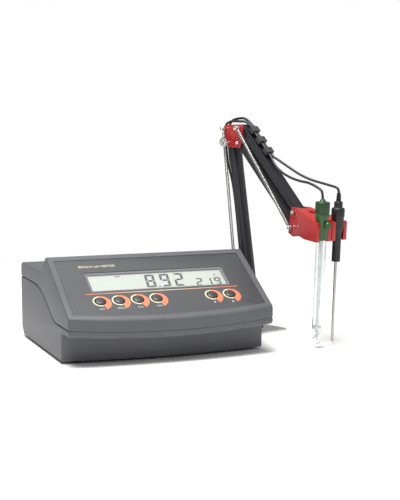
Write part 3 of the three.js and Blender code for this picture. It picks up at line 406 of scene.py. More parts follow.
def softened(node, name, width, segments=2, angle=30, clamp=True):
    """A copy of a CAD node with its corners merged and its edges rounded."""
    piece = bpy.data.objects.new(name, frame["nodes"][node].data.copy())
    bpy.context.scene.collection.objects.link(piece)
    select_only(piece)
    bpy.ops.mesh.customdata_custom_splitnormals_clear()
    bpy.ops.object.mode_set(mode="EDIT")
    bpy.ops.mesh.select_all(action="SELECT")
    bpy.ops.mesh.remove_doubles(threshold=0.00002)
    bpy.ops.mesh.dissolve_limited(angle_limit=math.radians(0.8))
    bpy.ops.object.mode_set(mode="OBJECT")
    bevel(piece, width, segments, angle, clamp)
    return smooth(piece, 40)


def show(piece, material, body, slot, *nodes):
    """Finishes a piece: its material, its body, and the CAD nodes that it stands for, which it hides; the
    slot is not used.
    """
    piece.data.materials.clear()
    piece.data.materials.append(material)
    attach(piece, body)
    if nodes:
        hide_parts(*nodes)
    return piece


def repaint(node, material):
    """Gives a CAD node that stays in view its finish."""
    piece = frame["nodes"][node]
    piece.data.materials.clear()
    piece.data.materials.append(material)


def drawn(name, curve, lines, closed, place=Matrix()):
    """A mesh from a curve that runs through lines of points in metres."""
    for line in lines:
        spline = curve.splines.new("POLY")
        spline.points.add(len(line) - 1)
        for point, spot in zip(spline.points, line):
            point.co = (*spot, 1)
        spline.use_cyclic_u = closed
    piece = bpy.data.objects.new(name, curve)
    bpy.context.scene.collection.objects.link(piece)
    select_only(piece)
    bpy.ops.object.convert(target="MESH")
    return settle(bpy.context.object, name, place)


PRINT_LEVEL = -0.46        # mm, how far out of the sloping face the print on the overlay lies


def on_panel(x, down, out):
    """A place on the panel: across, down the slope from its top edge and out of it, in millimetres."""
    return PANEL @ moved(x, -down, out)


def printed(name, outlines, down, material, slot, out=PRINT_LEVEL):
    """Flat marks on the panel from closed outlines (across, up) in millimetres."""
    curve = bpy.data.curves.new(name, "CURVE")
    curve.dimensions = "2D"
    curve.fill_mode = "BOTH"
    curve.extrude = looks(bpy.context, "panel").print_height / 2
    lines = [[(x * MM, y * MM, 0) for x, y in outline] for outline in outlines]
    return show(drawn(name, curve, lines, True, on_panel(0, down, out)), material, "meter", slot)


def lettered(name, words, x, down, size, material):
    """Generic lettering on the panel."""
    bpy.ops.object.select_all(action="DESELECT")
    bpy.ops.object.text_add()
    text = bpy.context.object
    text.data.body = words
    text.data.size = size * MM
    text.data.align_x = "CENTER"
    text.data.extrude = looks(bpy.context, "panel").print_height / 2
    text.data.offset = size * MM * 0.004
    bpy.ops.object.convert(target="MESH")
    place = on_panel(x, down, PRINT_LEVEL)
    return show(settle(bpy.context.object, name, place), material, "meter", "panel")


# ---- case ---------------------------------------------------------------------------------------

class PHMETER_OT_case(bpy.types.Operator):
    """Models the two halves of the case, its feet and its screws"""
    bl_idname = "phmeter.case"
    bl_label = "Case"

    def execute(self, context):
        settings = looks(context, "case")
        plastic = made("charcoal_moulding", surface, settings.housing, 0.5, grain=0.00035, depth=0.16)
        upper = softened("upper_case", "upper_shell", settings.edge, 3, 24)
        show(upper, plastic, "meter", "housing", "upper_case")
        lower = softened("lower_case", "lower_shell", settings.edge, 3, 24)
        show(lower, plastic, "meter", "housing_lower", "lower_case")
        rubber = made("foot_rubber", surface, settings.rubber, 0.8, grain=0.0006, depth=0.3)
        for number in range(1, 5):
            low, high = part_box(f"foot_{number}")
            middle = (low + high) / 2
            profile = [(5.2, 0.25), (5.6, 0.05), *rounded(7, 0, (high.z - low.z) / MM, 0.5)[1:]]
            place = Matrix.Translation((middle.x, middle.y, low.z))
            foot = turned(f"rubber_foot_{number}", profile, place, 40)
            show(foot, rubber, "meter", "rubber", f"foot_{number}")
        for number in (1, 2):
            screw = softened(f"case_screw_{number}", f"case_screw_head_{number}", 0.00015)
            show(screw, steel(), "meter", "steel", f"case_screw_{number}")
        board = made("board_green", surface, (0.02, 0.13, 0.05), 0.45, grain=0.0012, depth=0.2)
        repaint("main_board", board)
        return {"FINISHED"}


# ---- front panel --------------------------------------------------------------------------------

KEYS = ["key_power", "key_mode", "key_calibrate", "key_confirm", "key_down", "key_up"]
CAPTIONS = {"key_power": "ON", "key_mode": "MODE", "key_calibrate": "CAL", "key_confirm": "CFM"}
KEY_ROW = 82.4             # mm down the panel
CAPTION_ROW = 96.6
LINE_ROW = 69.6
RING_INNER = 6.7
RING_OUTER = 8.5
CRESCENT_REACH = 14.6      # mm, radius at the crescent's wide end


def key_x(name):
    """How far across the panel a key stands, in millimetres."""
    low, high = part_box(name)
    return ((low.x + high.x) / 2 - case_origin.x) / MM


def arc(radius_at, start, end, steps=28):
    """Points round the origin between two angles in degrees, the radius given by the share of the way."""
    points = []
    for step in range(steps + 1):
        share = step / steps
        angle = math.radians(start + (end - start) * share)
        radius = radius_at(share)
        points.append((radius * math.cos(angle), radius * math.sin(angle)))
    return points


def band(outer_at, start, end):
    """A closed strip between the key's ring and an outer line."""
    return arc(outer_at, start, end) + arc(lambda share: RING_INNER, end, start)


class PHMETER_OT_panel(bpy.types.Operator):
    """Models the panel overlay with its printed marks"""
    bl_idname = "phmeter.panel"
    bl_label = "Front panel"

    def execute(self, context):
        settings = looks(context, "panel")
        satin = made("panel_film", surface, settings.overlay, 0.42, grain=0.00018, depth=0.08, mottle=0.03)
        accent, pale, white = (made(f"{ink}_print", surface, getattr(settings, ink), 0.5, grain=0.0002,
                                    depth=0.04, mottle=0.03) for ink in ("accent", "pale", "caption"))
        overlay = softened("panel_overlay", "panel_film_sheet", 0.00012, 1)
        show(overlay, satin, "meter", "panel", "panel_overlay")
        for name in KEYS:
            x = key_x(name)
            shift = lambda points: [(px + x, py) for px, py in points]
            ring = band(lambda share: RING_OUTER, 92, 285)
            printed(f"{name}_ring", [shift(ring)], KEY_ROW, pale, "panel")
            grow = lambda share: RING_OUTER + (CRESCENT_REACH - RING_OUTER) * share ** 1.25
            printed(f"{name}_crescent", [shift(band(grow, 92, -72))], KEY_ROW, accent, "panel")
            if name in CAPTIONS:
                lettered(f"{name}_caption", CAPTIONS[name], x - 1, CAPTION_ROW, 3.4, white)
            else:
                tip = -1.3 if name == "key_down" else 1.3
                mark = [(x - 2.6, -tip + 1.2), (x + 0.4, -tip + 1.2), (x - 1.1, tip + 1.2)]
                printed(f"{name}_mark", [mark], CAPTION_ROW, white, "panel")
        line = made("line_print", accent_line, settings.accent, settings.pale)
        stripe = [(-88, -0.55), (88, -0.55), (88, 0.55), (-88, 0.55)]
        printed("panel_line", [stripe], LINE_ROW, line, "panel")
        lettered("panel_title", "BENCH pH METER", -64, 23.2, 5.3, pale)
        return {"FINISHED"}


SEGMENTS = {"8": "abcdefg", "9": "abcdfg", "2": "abged", "1": "bc"}
SLANT = 0.09
DISPLAY_FACE = -3.3        # mm, how far out of the sloping face the display lies


def segment(letter, width, height, stroke):
    """One bar of a seven-segment figure: its corners from the figure's lower left."""
    gap = stroke * 0.12
    half = height / 2
    inner = stroke + gap
    shapes = {
        "a": [(gap, height), (width - gap, height), (width - inner, height - stroke),
              (inner, height - stroke)],
        "d": [(gap, 0), (inner, stroke), (width - inner, stroke), (width - gap, 0)],
        "g": [(inner * 0.6, half), (inner, half + stroke / 2), (width - inner, half + stroke / 2),
              (width - inner * 0.6, half), (width - inner, half - stroke / 2), (inner, half - stroke / 2)],
        "f": [(0, height - gap), (stroke, height - inner), (stroke, half + stroke * 0.7),
              (stroke * 0.4, half + gap), (0, half + gap)],
    }
    if letter == "b":
        return [(width - x, y) for x, y in reversed(shapes["f"])]
    if letter == "e":
        return [(x, height - y) for x, y in reversed(shapes["f"])]
    if letter == "c":
        return [(width - x, height - y) for x, y in shapes["f"]]
    return shapes[letter]


def figure(digit, x, width, height, stroke):
    """All bars of a figure, slanted, with its lower left at x."""
    bars = [segment(letter, width, height, stroke) for letter in SEGMENTS[digit]]
    return [[(x + px + SLANT * py, py) for px, py in bar] for bar in bars]


class PHMETER_OT_display(bpy.types.Operator):
    """Models the display, its figures and the window over it"""
    bl_idname = "phmeter.display"
    bl_label = "Display"

    def execute(self, context):
        settings = looks(context, "panel")
        ground = made("display_ground", surface, settings.display, 0.4, grain=0.0002, depth=0.03, mottle=0.02)
        module = softened("lcd_module", "display_module", 0.0001, 1)
        show(module, ground, "meter", "display", "lcd_module")
        ink = made("display_ink", surface, settings.digits, 0.6, grain=0.0002, depth=0.02)
        above = DISPLAY_FACE + 0.06
        large = [bar for digit, x in (("8", -15.2), ("9", 2.0), ("2", 18.6))
                 for bar in figure(digit, x, 11.2, 22.6, 3.0)]
        point = [(-1.4, 0), (0.6, 0), (0.8, 2), (-1.2, 2)]
        printed("reading_figures", large + [point], 60, ink, "display", out=above)
        small = [bar for digit, x in (("2", 43.4), ("1", 54.6), ("9", 65.6))
                 for bar in figure(digit, x, 7.6, 13.6, 2.1)]
        dot = [(63.9, 0), (65.1, 0), (65.2, 1.2), (64.0, 1.2)]
        printed("temperature_figures", small + [dot], 62, ink, "display", out=above)
        dash = [(-47.5, -0.7), (-41, -0.7), (-41, 0.7), (-47.5, 0.7)]
        printed("reading_sign", [dash], 38, ink, "display", out=above)
        arrow = [(68.8, 1.2), (71.4, 1.2), (70.1, -1)]
        printed("temperature_mark", [arrow], 44, ink, "display", out=above)
        window = softened("lcd_window", "display_window", 0.0001, 1)
        acrylic = made("window_acrylic", clear, (0.9, 0.93, 0.92), 0.04, alpha=0.04, transmission=0.0)
        show(window, acrylic, "meter", "lens", "lcd_window")
        return {"FINISHED"}


class PHMETER_OT_keys(bpy.types.Operator):
    """Models the six keys"""
    bl_idname = "phmeter.keys"
    bl_label = "Keys"

    def execute(self, context):
        black = made("key_moulding", surface, (0.030, 0.029, 0.029), 0.42, grain=0.0003, depth=0.12)
        crown = [(5.85, -0.6), (5.7, -0.05), (5.3, 0.3), (4.6, 0.55), (3.4, 0.8), (1.8, 0.95), (0.4, 1.0)]
        profile = [(2, -8.0), (2, -4.7), (7.5, -4.7), (7.6, -4.55), (7.6, -3.4), (7.5, -3.3),
                   (5.9, -3.3), *crown]
        for name in KEYS:
            cap = turned(f"{name}_cap", profile, on_panel(key_x(name), KEY_ROW, 0))
            show(cap, black, name, "key", name)
        return {"FINISHED"}


# ---- rear connectors ----------------------------------------------------------------------------

SOCKET_HEIGHT = 45
CONNECTORS = [("electrode", 70, 4.8, 8), ("probe", 42, 3.9, 6.5)]   # name, across, barrel, flange
PLUG_LENGTH = 28


class PHMETER_OT_rear(bpy.types.Operator):
    """Models the sockets, the plugs in them and the power inlet"""
    bl_idname = "phmeter.rear"
    bl_label = "Rear connectors"

    def execute(self, context):
        nickel = steel("socket_nickel", 0.7, 0.2)
        black = black_moulding(context)
        for name, x, barrel, flange in CONNECTORS:
            place = Matrix.Translation(in_case(x, CASE_REAR + 0.3, SOCKET_HEIGHT)) @ ALONG_REAR
            shell = [(barrel, -11), (barrel, 0), (flange, 0), (flange, 1.2), (flange - 0.3, 1.5),
                     (barrel, 1.5), (barrel, 11), (barrel - 0.9, 11), (barrel - 0.9, 3), (0.7, 3), (0.7, 10)]
            show(turned(f"{name}_socket_shell", shell, place), nickel, "meter", "nickel", f"{name}_socket")
            grip = flange - 0.6
            ribs = ribbed(grip, 1.4, 1.1, 7, 0, 0.35, 0.55, 0.65, 1.05)
            relief = ribbed(3.1, PLUG_LENGTH - 6, 1.3, 10, 0.09, 0.4, 0.75, 0.8, 1.2)
            body = [(barrel + 0.3, 9.4), (barrel + 0.3, 0.02), (grip - 0.3, 0), (grip, 0.4), *ribs,
                    (grip - 0.2, 9.6), (grip - 1.2, 11), (grip - 1.3, PLUG_LENGTH - 9),
                    (3.3, PLUG_LENGTH - 6.6), *relief, (1.7, PLUG_LENGTH + 7.6)]
            plug = turned(f"{name}_plug_body", body, place @ moved(0, 0, 1.8))
            show(plug, black, "meter", "black_plastic", f"{name}_plug")
        inlet = softened("power_inlet", "power_inlet_shell", 0.0003)
        show(inlet, black, "meter", "black_plastic", "power_inlet")
        return {"FINISHED"}


# ---- arm ----------------------------------------------------------------------------------------

def cross_pin(name, node, pivot, half, radius, head, body, material, head_depth=1.6):
    """A pin across the arm with a domed head at each end; pivot is (forward, up)."""
    start, end = -half, half
    shank = [(radius, start), (radius, end)]
    below = [(head * 0.35, start - head_depth), (head * 0.75, start - head_depth * 0.8),
             (head * 0.97, start - head_depth * 0.35), (head, start)]
    above = [(head, end), (head * 0.97, end + head_depth * 0.35), (head * 0.75, end + head_depth * 0.8),
             (head * 0.35, end + head_depth)]
    place = ARM @ moved(pivot[0], 0, pivot[1]) @ ALONG_SIDE
    pin = turned(name, below + shank + above, place, 32)
    return show(pin, material, body, "steel", node)


class PHMETER_OT_base(bpy.types.Operator):
    """Models the base plate, the swivel pin and the yoke on it"""
    bl_idname = "phmeter.base"
    bl_label = "Arm base"

    def execute(self, context):
        edge = looks(context, "arm").edge
        plate_steel = made("plate_steel", surface, (0.55, 0.55, 0.54), 0.36, grain=0.0004, depth=0.1,
                           metallic=1.0, stretch=(1, 12, 1), turn=(0, 0, ARM_TURN))
        show(softened("base_plate", "base_sheet", 0.0004), plate_steel, "meter", "steel", "base_plate")
        for number in (1, 2):
            low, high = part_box(f"plate_screw_{number}")
            middle = (low + high) / 2
            head = [(1.6, 0.5), (1.6, 2.1), (1.45, 2.35), (1.0, 2.5), (0.9, 2.2), (0.5, 2.1)]
            place = Matrix.Translation((middle.x, middle.y, 0))
            screw = turned(f"plate_screw_head_{number}", head, place, 24)
            show(screw, steel(), "meter", "steel", f"plate_screw_{number}")
        column = [(10.8, 2.8), (11, 3.0), (11, 4.6), (10.7, 4.8), (4.3, 5.3), (4, 5.7), (4, 31.7), (3.7, 32)]
        show(turned("swivel_column", column, ARM), steel(), "meter", "steel", "swivel_pin")
        yoke = softened("base_yoke", "yoke_moulding", edge, 3)
        show(yoke, black_moulding(context), "yoke", "black_plastic", "base_yoke")
        for name, node, pivot in (("yoke_rear_pin", "base_rear_pin", LOWER_PIVOT),
                                  ("yoke_front_pin", "base_front_pin", TIE_FOOT)):
            cross_pin(name, node, pivot, YOKE_REACH, PIN_RADIUS, 3.1, "yoke", steel())
        return {"FINISHED"}


class PHMETER_OT_bars(bpy.types.Operator):
    """Models the arm's bars, its tie rod and the cable clips"""
    bl_idname = "phmeter.bars"
    bl_label = "Arm bars"

    def execute(self, context):
        lower = anodised(context, "anodised_lower", math.radians(80.5))
        upper = anodised(context, "anodised_upper", math.radians(45.9))
        for node, part, finish, body in (("lower_bar", "lower", lower, "lower_bar"),
                                         ("upper_top_bar", "top", upper, "top_bar"),
                                         ("upper_bottom_bar", "bottom", upper, "bottom_bar")):
            show(softened(node, f"{part}_channel", 0.0005), finish, body, "bar", node)
        show(softened("tie_rod", "tie_rod_bar", 0.0003, 2, 40), lower, "tie_rod", "bar", "tie_rod")
        for number in (1, 2, 3):
            clip = softened(f"cable_clip_{number}", f"cable_clip_body_{number}", 0.0005, 3)
            show(clip, made("clip_moulding", surface, (0.035, 0.035, 0.037), 0.5, depth=0.15), "top_bar",
                 "black_plastic", f"cable_clip_{number}")
        return {"FINISHED"}


class PHMETER_OT_elbow(bpy.types.Operator):
    """Models the elbow, its pins and the clamp through it"""
    bl_idname = "phmeter.elbow"
    bl_label = "Elbow"

    def execute(self, context):
        edge = looks(context, "arm").edge
        block = softened("elbow_block", "elbow_moulding", edge, 3)
        show(block, red_moulding(context), "elbow", "red_plastic", "elbow_block")
        bright = steel("pin_steel", 0.68, 0.2)
        cross_pin("elbow_rivet", "elbow_front_pin", ELBOW_FRONT, ELBOW_REACH, PIN_RADIUS, 2.6, "elbow",
                  bright)
        for name, node, pivot, radius in (("elbow_top_rod", "elbow_top_pin", ELBOW_TOP, PIN_RADIUS),
                                          ("elbow_rear_rod", "elbow_rear_pin", ELBOW_REAR, REAR_PIN_RADIUS)):
            cross_pin(name, node, pivot, SPRING_REACH, radius, radius + 0.9, "elbow", bright, head_depth=1.4)
        nickel = steel("clamp_nickel", 0.66, 0.22)
        for part in ("clamp_screw", "clamp_knob"):
            show(softened(part, f"{part}_body", 0.0003, 2, 20), nickel, part, "nickel", part)
        return {"FINISHED"}


TURN_POINTS = 10           # points on each turn of a spring


def spring_path(start, end, hook_start, hook_end, radius, pitch):
    """Points of a close-wound spring between two pins, with a hook over the pin at each end that has one."""
    axis = (end - start).normalized()
    side = axis.cross(ARM.to_3x3() @ Vector((0, 1, 0))).normalized()
    other = axis.cross(side)
    margin = 0.0042
    first = start + axis * (margin if hook_start else 0)
    last = end - axis * (margin if hook_end else 0)
    turns = round((last - first).length / pitch)
    points = []
    for step in range(turns * TURN_POINTS + 1):
        angle = 2 * math.pi * step / TURN_POINTS
        share = step / (turns * TURN_POINTS)
        points.append(first.lerp(last, share) + radius * (math.cos(angle) * side + math.sin(angle) * other))
    hook = [math.radians(a) for a in reversed(range(0, 300, 30))]
    reach = 0.0026
    if hook_start:
        loop = [start - axis * reach * math.cos(a) + side * reach * math.sin(a) for a in hook]
        points = loop + points
    if hook_end:
        points += [end + axis * reach * math.cos(a) + side * reach * math.sin(a) for a in hook]
    return points


def wire(name, points, diameter, sides):
    """A round wire along points, as a closed mesh."""
    curve = bpy.data.curves.new(name, "CURVE")
    curve.dimensions = "3D"
    curve.bevel_depth = diameter / 2
    curve.bevel_resolution = sides // 2 - 1
    curve.use_fill_caps = True
    return smooth(drawn(name, curve, [points], False), 60)


class PHMETER_OT_springs(bpy.types.Operator):
    """Models the four tension springs beside the arm"""
    bl_idname = "phmeter.springs"
    bl_label = "Springs"

    def execute(self, context):
        settings = looks(context, "arm")
        radius = (settings.spring - settings.wire) / 2
        pitch = settings.wire * 1.04
        bright = steel("coil_steel", 0.42, 0.34)
        for side, name in ((-1, "left"), (1, "right")):
            offset = side * SPRING_OFFSET
            foot = in_arm(SPRING_PEG[0], offset, SPRING_PEG[1])
            head = in_arm(ELBOW_REAR[0], offset, ELBOW_REAR[1])
            middle = foot.lerp(head, 0.5)
            halves = [("foot", foot, middle, True, False, "yoke", "lower_bar", 0.0, 0.2),
                      ("head", middle, head, False, True, "lower_bar", "elbow", 0.7, 1.0)]
            for part, start, end, hook_start, hook_end, body_a, body_b, low, high in halves:
                coil = wire(f"lower_spring_{name}_{part}",
                            spring_path(start, end, hook_start, hook_end, radius, pitch), settings.wire, 6)
                coil.data.materials.append(bright)
                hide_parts(f"lower_spring_{name}")
                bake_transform(coil)
            top = in_arm(ELBOW_TOP[0], offset, ELBOW_TOP[1])
            low_end = in_arm(HOLDER_LOW[0], offset, HOLDER_LOW[1])
            coil = wire(f"upper_spring_{name}_coil", spring_path(top, low_end, True, True, radius, pitch),
                        settings.wire, 6)
            coil.data.materials.append(bright)
            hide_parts(f"upper_spring_{name}")
            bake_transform(coil)
        return {"FINISHED"}


class PHMETER_OT_holder(bpy.types.Operator):
    """Models the electrode holder and its two pins"""
    bl_idname = "phmeter.holder"
    bl_label = "Electrode holder"

    def execute(self, context):
        body = softened("electrode_holder", "holder_moulding", looks(context, "arm").edge, 3)
        show(body, red_moulding(context), "holder", "red_plastic", "electrode_holder")
        bright = steel("pin_steel", 0.68, 0.2)
        low = turned("holder_low_rod", rounded(2, -16.2, 16.2, 0.5), HOLDER @ ALONG_SIDE, 32)
        show(low, bright, "holder", "steel", "holder_low_pin")
        rivet = softened("holder_high_pin", "holder_high_rivet", 0.0004, 2, 40)
        show(rivet, bright, "holder", "steel", "holder_high_pin")
        return {"FINISHED"}


# ---- electrode and probe ------------------------------------------------------------------------

CAP_FOOT = HOLDER_BOTTOM + 2 - LEVEL
SHOULDER = HOLDER_TOP + 1 - LEVEL
CAP_TOP = 167.8 - LEVEL
GLASS_FOOT = CAP_FOOT - GLASS_LENGTH
PROBE_TOP = 166.8 - LEVEL
NECK_FOOT = 98 - LEVEL
ROD_TIP = 4 - LEVEL


class PHMETER_OT_electrode(bpy.types.Operator):
    """Models the glass electrode with its cap and its fill plug"""
    bl_idname = "phmeter.electrode"
    bl_label = "Electrode"

    def execute(self, context):
        settings = looks(context, "electrode")
        green = made("green_moulding", surface, settings.green, 0.34, grain=0.0005, depth=0.05, coat=0.1)
        shade = [c * 0.62 for c in settings.green]
        dark = made("green_cap_top", surface, shade, 0.4, grain=0.0004, depth=0.1)
        place = seat(-1)
        body = [(6.15, CAP_FOOT + 8), (6.15, CAP_FOOT), (6.4, CAP_FOOT), (6.7, CAP_FOOT + 0.4),
                (6.9, CAP_FOOT + 1.4), (7.0, SHOULDER - 0.3), (7.1, SHOULDER), (7.6, SHOULDER + 1.2),
                (8.0, SHOULDER + 3), (8.0, CAP_TOP - 12.4), (7.8, CAP_TOP - 12.0)]
        cap = turned("electrode_cap_body", body, place, 56)
        show(cap, green, "electrode", "green_plastic", "electrode_cap")
        crown = [(7.7, CAP_TOP - 12.0), (8.1, CAP_TOP - 12.0), (8.3, CAP_TOP - 11.7), (8.3, CAP_TOP - 1.4),
                 (8.1, CAP_TOP - 0.6), (7.5, CAP_TOP), (4.2, CAP_TOP + 0.4), (3.2, CAP_TOP + 1.2),
                 (2.7, CAP_TOP + 2.6), (2.4, CAP_TOP + 3)]
        show(turned("electrode_cap_crown", crown, place, 56), dark, "electrode", "green_plastic")
        wall = settings.wall / MM
        foot, bulb = GLASS_FOOT, 5
        outside = [(1.2, foot + 0.1), (2.4, foot + 0.6), (3.6, foot + 1.5), (4.5, foot + 2.8),
                   (bulb, foot + 4.6), (bulb, foot + 5.6), (4.7, foot + 7.4), (3.9, foot + 9),
                   (3.3, foot + 10.2), (3.3, foot + 11.2), (4.0, foot + 12.6), (5.2, foot + 14.6),
                   (5.8, foot + 16), (6, foot + 17.4), (6, CAP_FOOT + 7.6)]
        inside = [(r - wall, z) for r, z in reversed(outside[4:])] + [(3.4, foot + 2.6), (1.4, foot + 1.2)]
        glass = made("clear_glass", clear, (0.96, 0.98, 0.98), 0.01)
        tube = turned("electrode_tube", outside + inside, place, 48, 60)
        show(tube, glass, "electrode", "electrode_glass", "electrode_glass")
        inner = [(1.2, foot + 4.2), (2.2, foot + 6), (2.3, foot + 14), (2.3, CAP_FOOT + 7),
                 (1.7, CAP_FOOT + 7), (1.7, foot + 14), (1.2, foot + 8)]
        frosted = made("inner_glass", clear, (0.93, 0.95, 0.95), 0.15, alpha=0.55, transmission=0.3)
        show(turned("electrode_inner_tube", inner, place, 32, 60), frosted, "electrode", "electrode_glass")
        silver = steel("silver_wire", 0.75, 0.35)
        show(turned("electrode_wire", rounded(0.5, foot + 9, CAP_FOOT + 7, 0.2), place, 16), silver,
             "electrode", "steel")
        band_white = made("ceramic", surface, (0.75, 0.73, 0.68), 0.6, grain=0.0003, depth=0.2)
        ring = [(2.4, foot + 19), (4.9, foot + 19), (5.0, foot + 19.4), (5.0, foot + 21.2),
                (2.4, foot + 21.4)]
        show(turned("electrode_junction", ring, place, 32), band_white, "electrode", "electrode_glass")
        plug_place = place @ moved(0, 0, HOLDER_TOP - 6 - LEVEL) @ ALONG_FRONT
        stopper = [(2, 5.7), (2, 8), (3.9, 8), (4.15, 8.3), (4.2, 9.4), (4.0, 10.8), (3.6, 11.3),
                   (3.2, 11.35), (3.0, 11.0), (0.6, 10.9)]
        show(turned("fill_plug_cap", stopper, plug_place, 40), green, "fill_plug", "green_plastic",
             "fill_plug")
        return {"FINISHED"}


class PHMETER_OT_probe(bpy.types.Operator):
    """Models the temperature probe"""
    bl_idname = "phmeter.probe"
    bl_label = "Temperature probe"

    def execute(self, context):
        black = black_moulding(context)
        place = seat(1)
        neck = HOLDER_BOTTOM + 8 - LEVEL
        handle = [(1.75, NECK_FOOT + 9), (1.75, NECK_FOOT + 0.02), (4.5, NECK_FOOT), (4.9, NECK_FOOT + 0.5),
                  (4.9, neck), (5.2, neck + 0.8), (6.5, neck + 5.6), (6.8, neck + 7), (7.1, SHOULDER),
                  (7.4, SHOULDER + 0.7), (7.6, SHOULDER + 1.4), (7.6, PROBE_TOP - 8.8),
                  (7.3, PROBE_TOP - 7.9), (6.6, PROBE_TOP - 7.1), (5.1, PROBE_TOP - 6.8),
                  (4.9, PROBE_TOP - 6.5), (4.9, PROBE_TOP - 0.5), (4.5, PROBE_TOP), (3.1, PROBE_TOP + 0.4)]
        relief = ribbed(2.9, PROBE_TOP + 1, 1.1, 8, 0.07, 0.35, 0.6, 0.65, 1.0)
        body = turned("probe_handle_body", [*handle, *relief, (1.7, PROBE_TOP + 9.9)], place, 56)
        show(body, black, "probe", "black_plastic", "probe_handle")
        rod = [(0.5, ROD_TIP + 0.02), (1.1, ROD_TIP + 0.25), (1.5, ROD_TIP + 0.9), (1.6, ROD_TIP + 1.6),
               (1.6, NECK_FOOT + 9)]
        show(turned("probe_rod_tube", rod, place, 32, 60), steel("probe_steel", 0.36, 0.3), "probe", "steel",
             "probe_rod")
        return {"FINISHED"}


# ---- leads --------------------------------------------------------------------------------------

COIL = (104, 160)          # mm, the coil's middle in the case's frame
TAIL_START = CASE_REAR + 0.3 + 1.8 + PLUG_LENGTH + 8
SLACK = 0.032              # m, the last stretch of each lead, down to the electrode or the probe
STEP = 0.0022              # m between the points of a lead
LAYER = 1.02               # a layer of the coil in lead diameters


def electrode_coil_in():
    """The electrode's lead from its plug to the coil, in the case's own frame."""
    return [(70, TAIL_START - 2, 45), (70, TAIL_START + 6, 44), (71, TAIL_START + 14, 36),
            (73, TAIL_START + 20, 19), (77, TAIL_START + 22, 7), (84, TAIL_START + 22, 2.6),
            (COIL[0] - 12, COIL[1] + 19.6, 1.6)]


def probe_coil_in():
    """The probe's lead from its plug to the coil."""
    return [(42, TAIL_START - 2, 45), (42, TAIL_START + 6, 44), (44, TAIL_START + 12, 37),
            (48, TAIL_START + 16, 24), (56, TAIL_START + 17, 14.5), (67, TAIL_START + 16, 11),
            (COIL[0] - 24, COIL[1] + 13, 8.6)]


def eased(share):
    """A share kept between 0 and 1, with a soft start and a soft end."""
    share = min(1, max(0, share))
    return share * share * (3 - 2 * share)


def coil_turns(settings, base, start, total):
    """The turns, clockwise: out to in on one layer, then in to out on the next. Angles in degrees."""
    outer, inner = settings.outer_turn / MM, settings.inner_turn / MM
    layer = settings.diameter / MM * LAYER
    count = round(total / 20)
    points = []
    for step in range(count + 1):
        share = step / count
        angle = math.radians(start - total * share)
        radius = inner + (outer - inner) * eased((abs(share - 0.5) - 0.2) / 0.08)
        rise = eased((share - 0.46) / 0.08)
        points.append((COIL[0] + radius * math.cos(angle), COIL[1] + radius * math.sin(angle),
                       base + layer * rise))
    return points


CLIP_STATIONS = (11.5, 28, 45.5)   # mm along the top bar from the elbow
CLIP_ENDS = (4.4, 8.5)             # mm from a clip's middle to just outside it, and well clear of it
CLIP_GAP = 0.3
CLIP_HOLE = 3.4                    # mm from a clip's underside to its holes


def along_top(distance, right):
    """A point in the clips, that far down the top bar from the elbow."""
    slope = math.atan2(UPPER_BAR[1], UPPER_BAR[0])
    height = UPPER_BAR_DEPTH / 2 + CLIP_GAP + CLIP_HOLE
    return (ELBOW_TOP[0] + distance * math.cos(slope) - height * math.sin(slope), right,
            ELBOW_TOP[1] + distance * math.sin(slope) + height * math.cos(slope))


def through_clips(right):
    """The points where a lead enters, passes and leaves the three clips."""
    first, middle, third = CLIP_STATIONS
    near, far = CLIP_ENDS
    distances = (first - far, first - near, first + near, middle, third - near, third + near, third + far)
    return [along_top(distance, right) for distance in distances]


def behind_bar(share, back, right):
    """A point behind the lower bar, at a share of its length."""
    return (LOWER_PIVOT[0] + LOWER_BAR[0] * share - back, right, LOWER_PIVOT[1] + LOWER_BAR[1] * share)


def head_of(side, height):
    """The top of the electrode or the probe in the arm's frame, in millimetres."""
    point = ARM.inverted() @ (seat(side) @ (Vector((0, 0, height)) * MM))
    return tuple(point / MM)


def electrode_arm_route():
    """The electrode's lead on the arm: up to the clips, how far right it lies in them, and on from them."""
    top = head_of(-1, CAP_TOP + 3)
    before = [(-68, -4, 4.6), (-46, -3, 4.6), (-33, -2, 10), (-24, -2, 24), behind_bar(0, 23, -2),
              behind_bar(0.15, 12, -2), behind_bar(0.4, 9, -2), behind_bar(0.7, 9, -2),
              behind_bar(0.9, 14, -2), (-42, -2, 244.5), (-40.6, -2.5, 252.9), (-33, -2.5, 256.4),
              (-25, -2.4, 257), (-17, -2, 256.8), (-9.5, 0, 256.4)]
    after = [(43, -1.5, 206), (57, -4, 198), (74.5, -7, 192.5), (91.7, -10, 189.5), (108, -12.5, 188),
             (120, -13.2, 184.5), (top[0] - 2, -13.2, top[2] + 9), (top[0], -13.2, top[2] - 0.6)]
    return before, 1.5, after


def probe_arm_route():
    """The probe's lead on the arm, given in the same way."""
    top = head_of(1, PROBE_TOP + 10)
    before = [(-68, 5, 4.6), (-46, 4, 4.6), (-33, 3, 10), (-24, 2.5, 24), behind_bar(0, 23, 2),
              behind_bar(0.15, 12, 2), behind_bar(0.4, 9, 2), behind_bar(0.7, 9, 2),
              behind_bar(0.9, 14, 2.5), (-41.6, 3, 245.5), (-37.6, 3.5, 256.5), (-23, 4.5, 260.5),
              (-14, 5, 259.6)]
    after = [(43, 6.5, 210.5), (57, 7.5, 203.5), (74, 9, 195.5), (90, 11, 190), (104, 12.5, 187),
             (115, 13.2, 185), (top[0] - 1.5, 13.2, top[2] + 4.5), (top[0], 13.2, top[2] - 0.6)]
    return before, 5.5, after


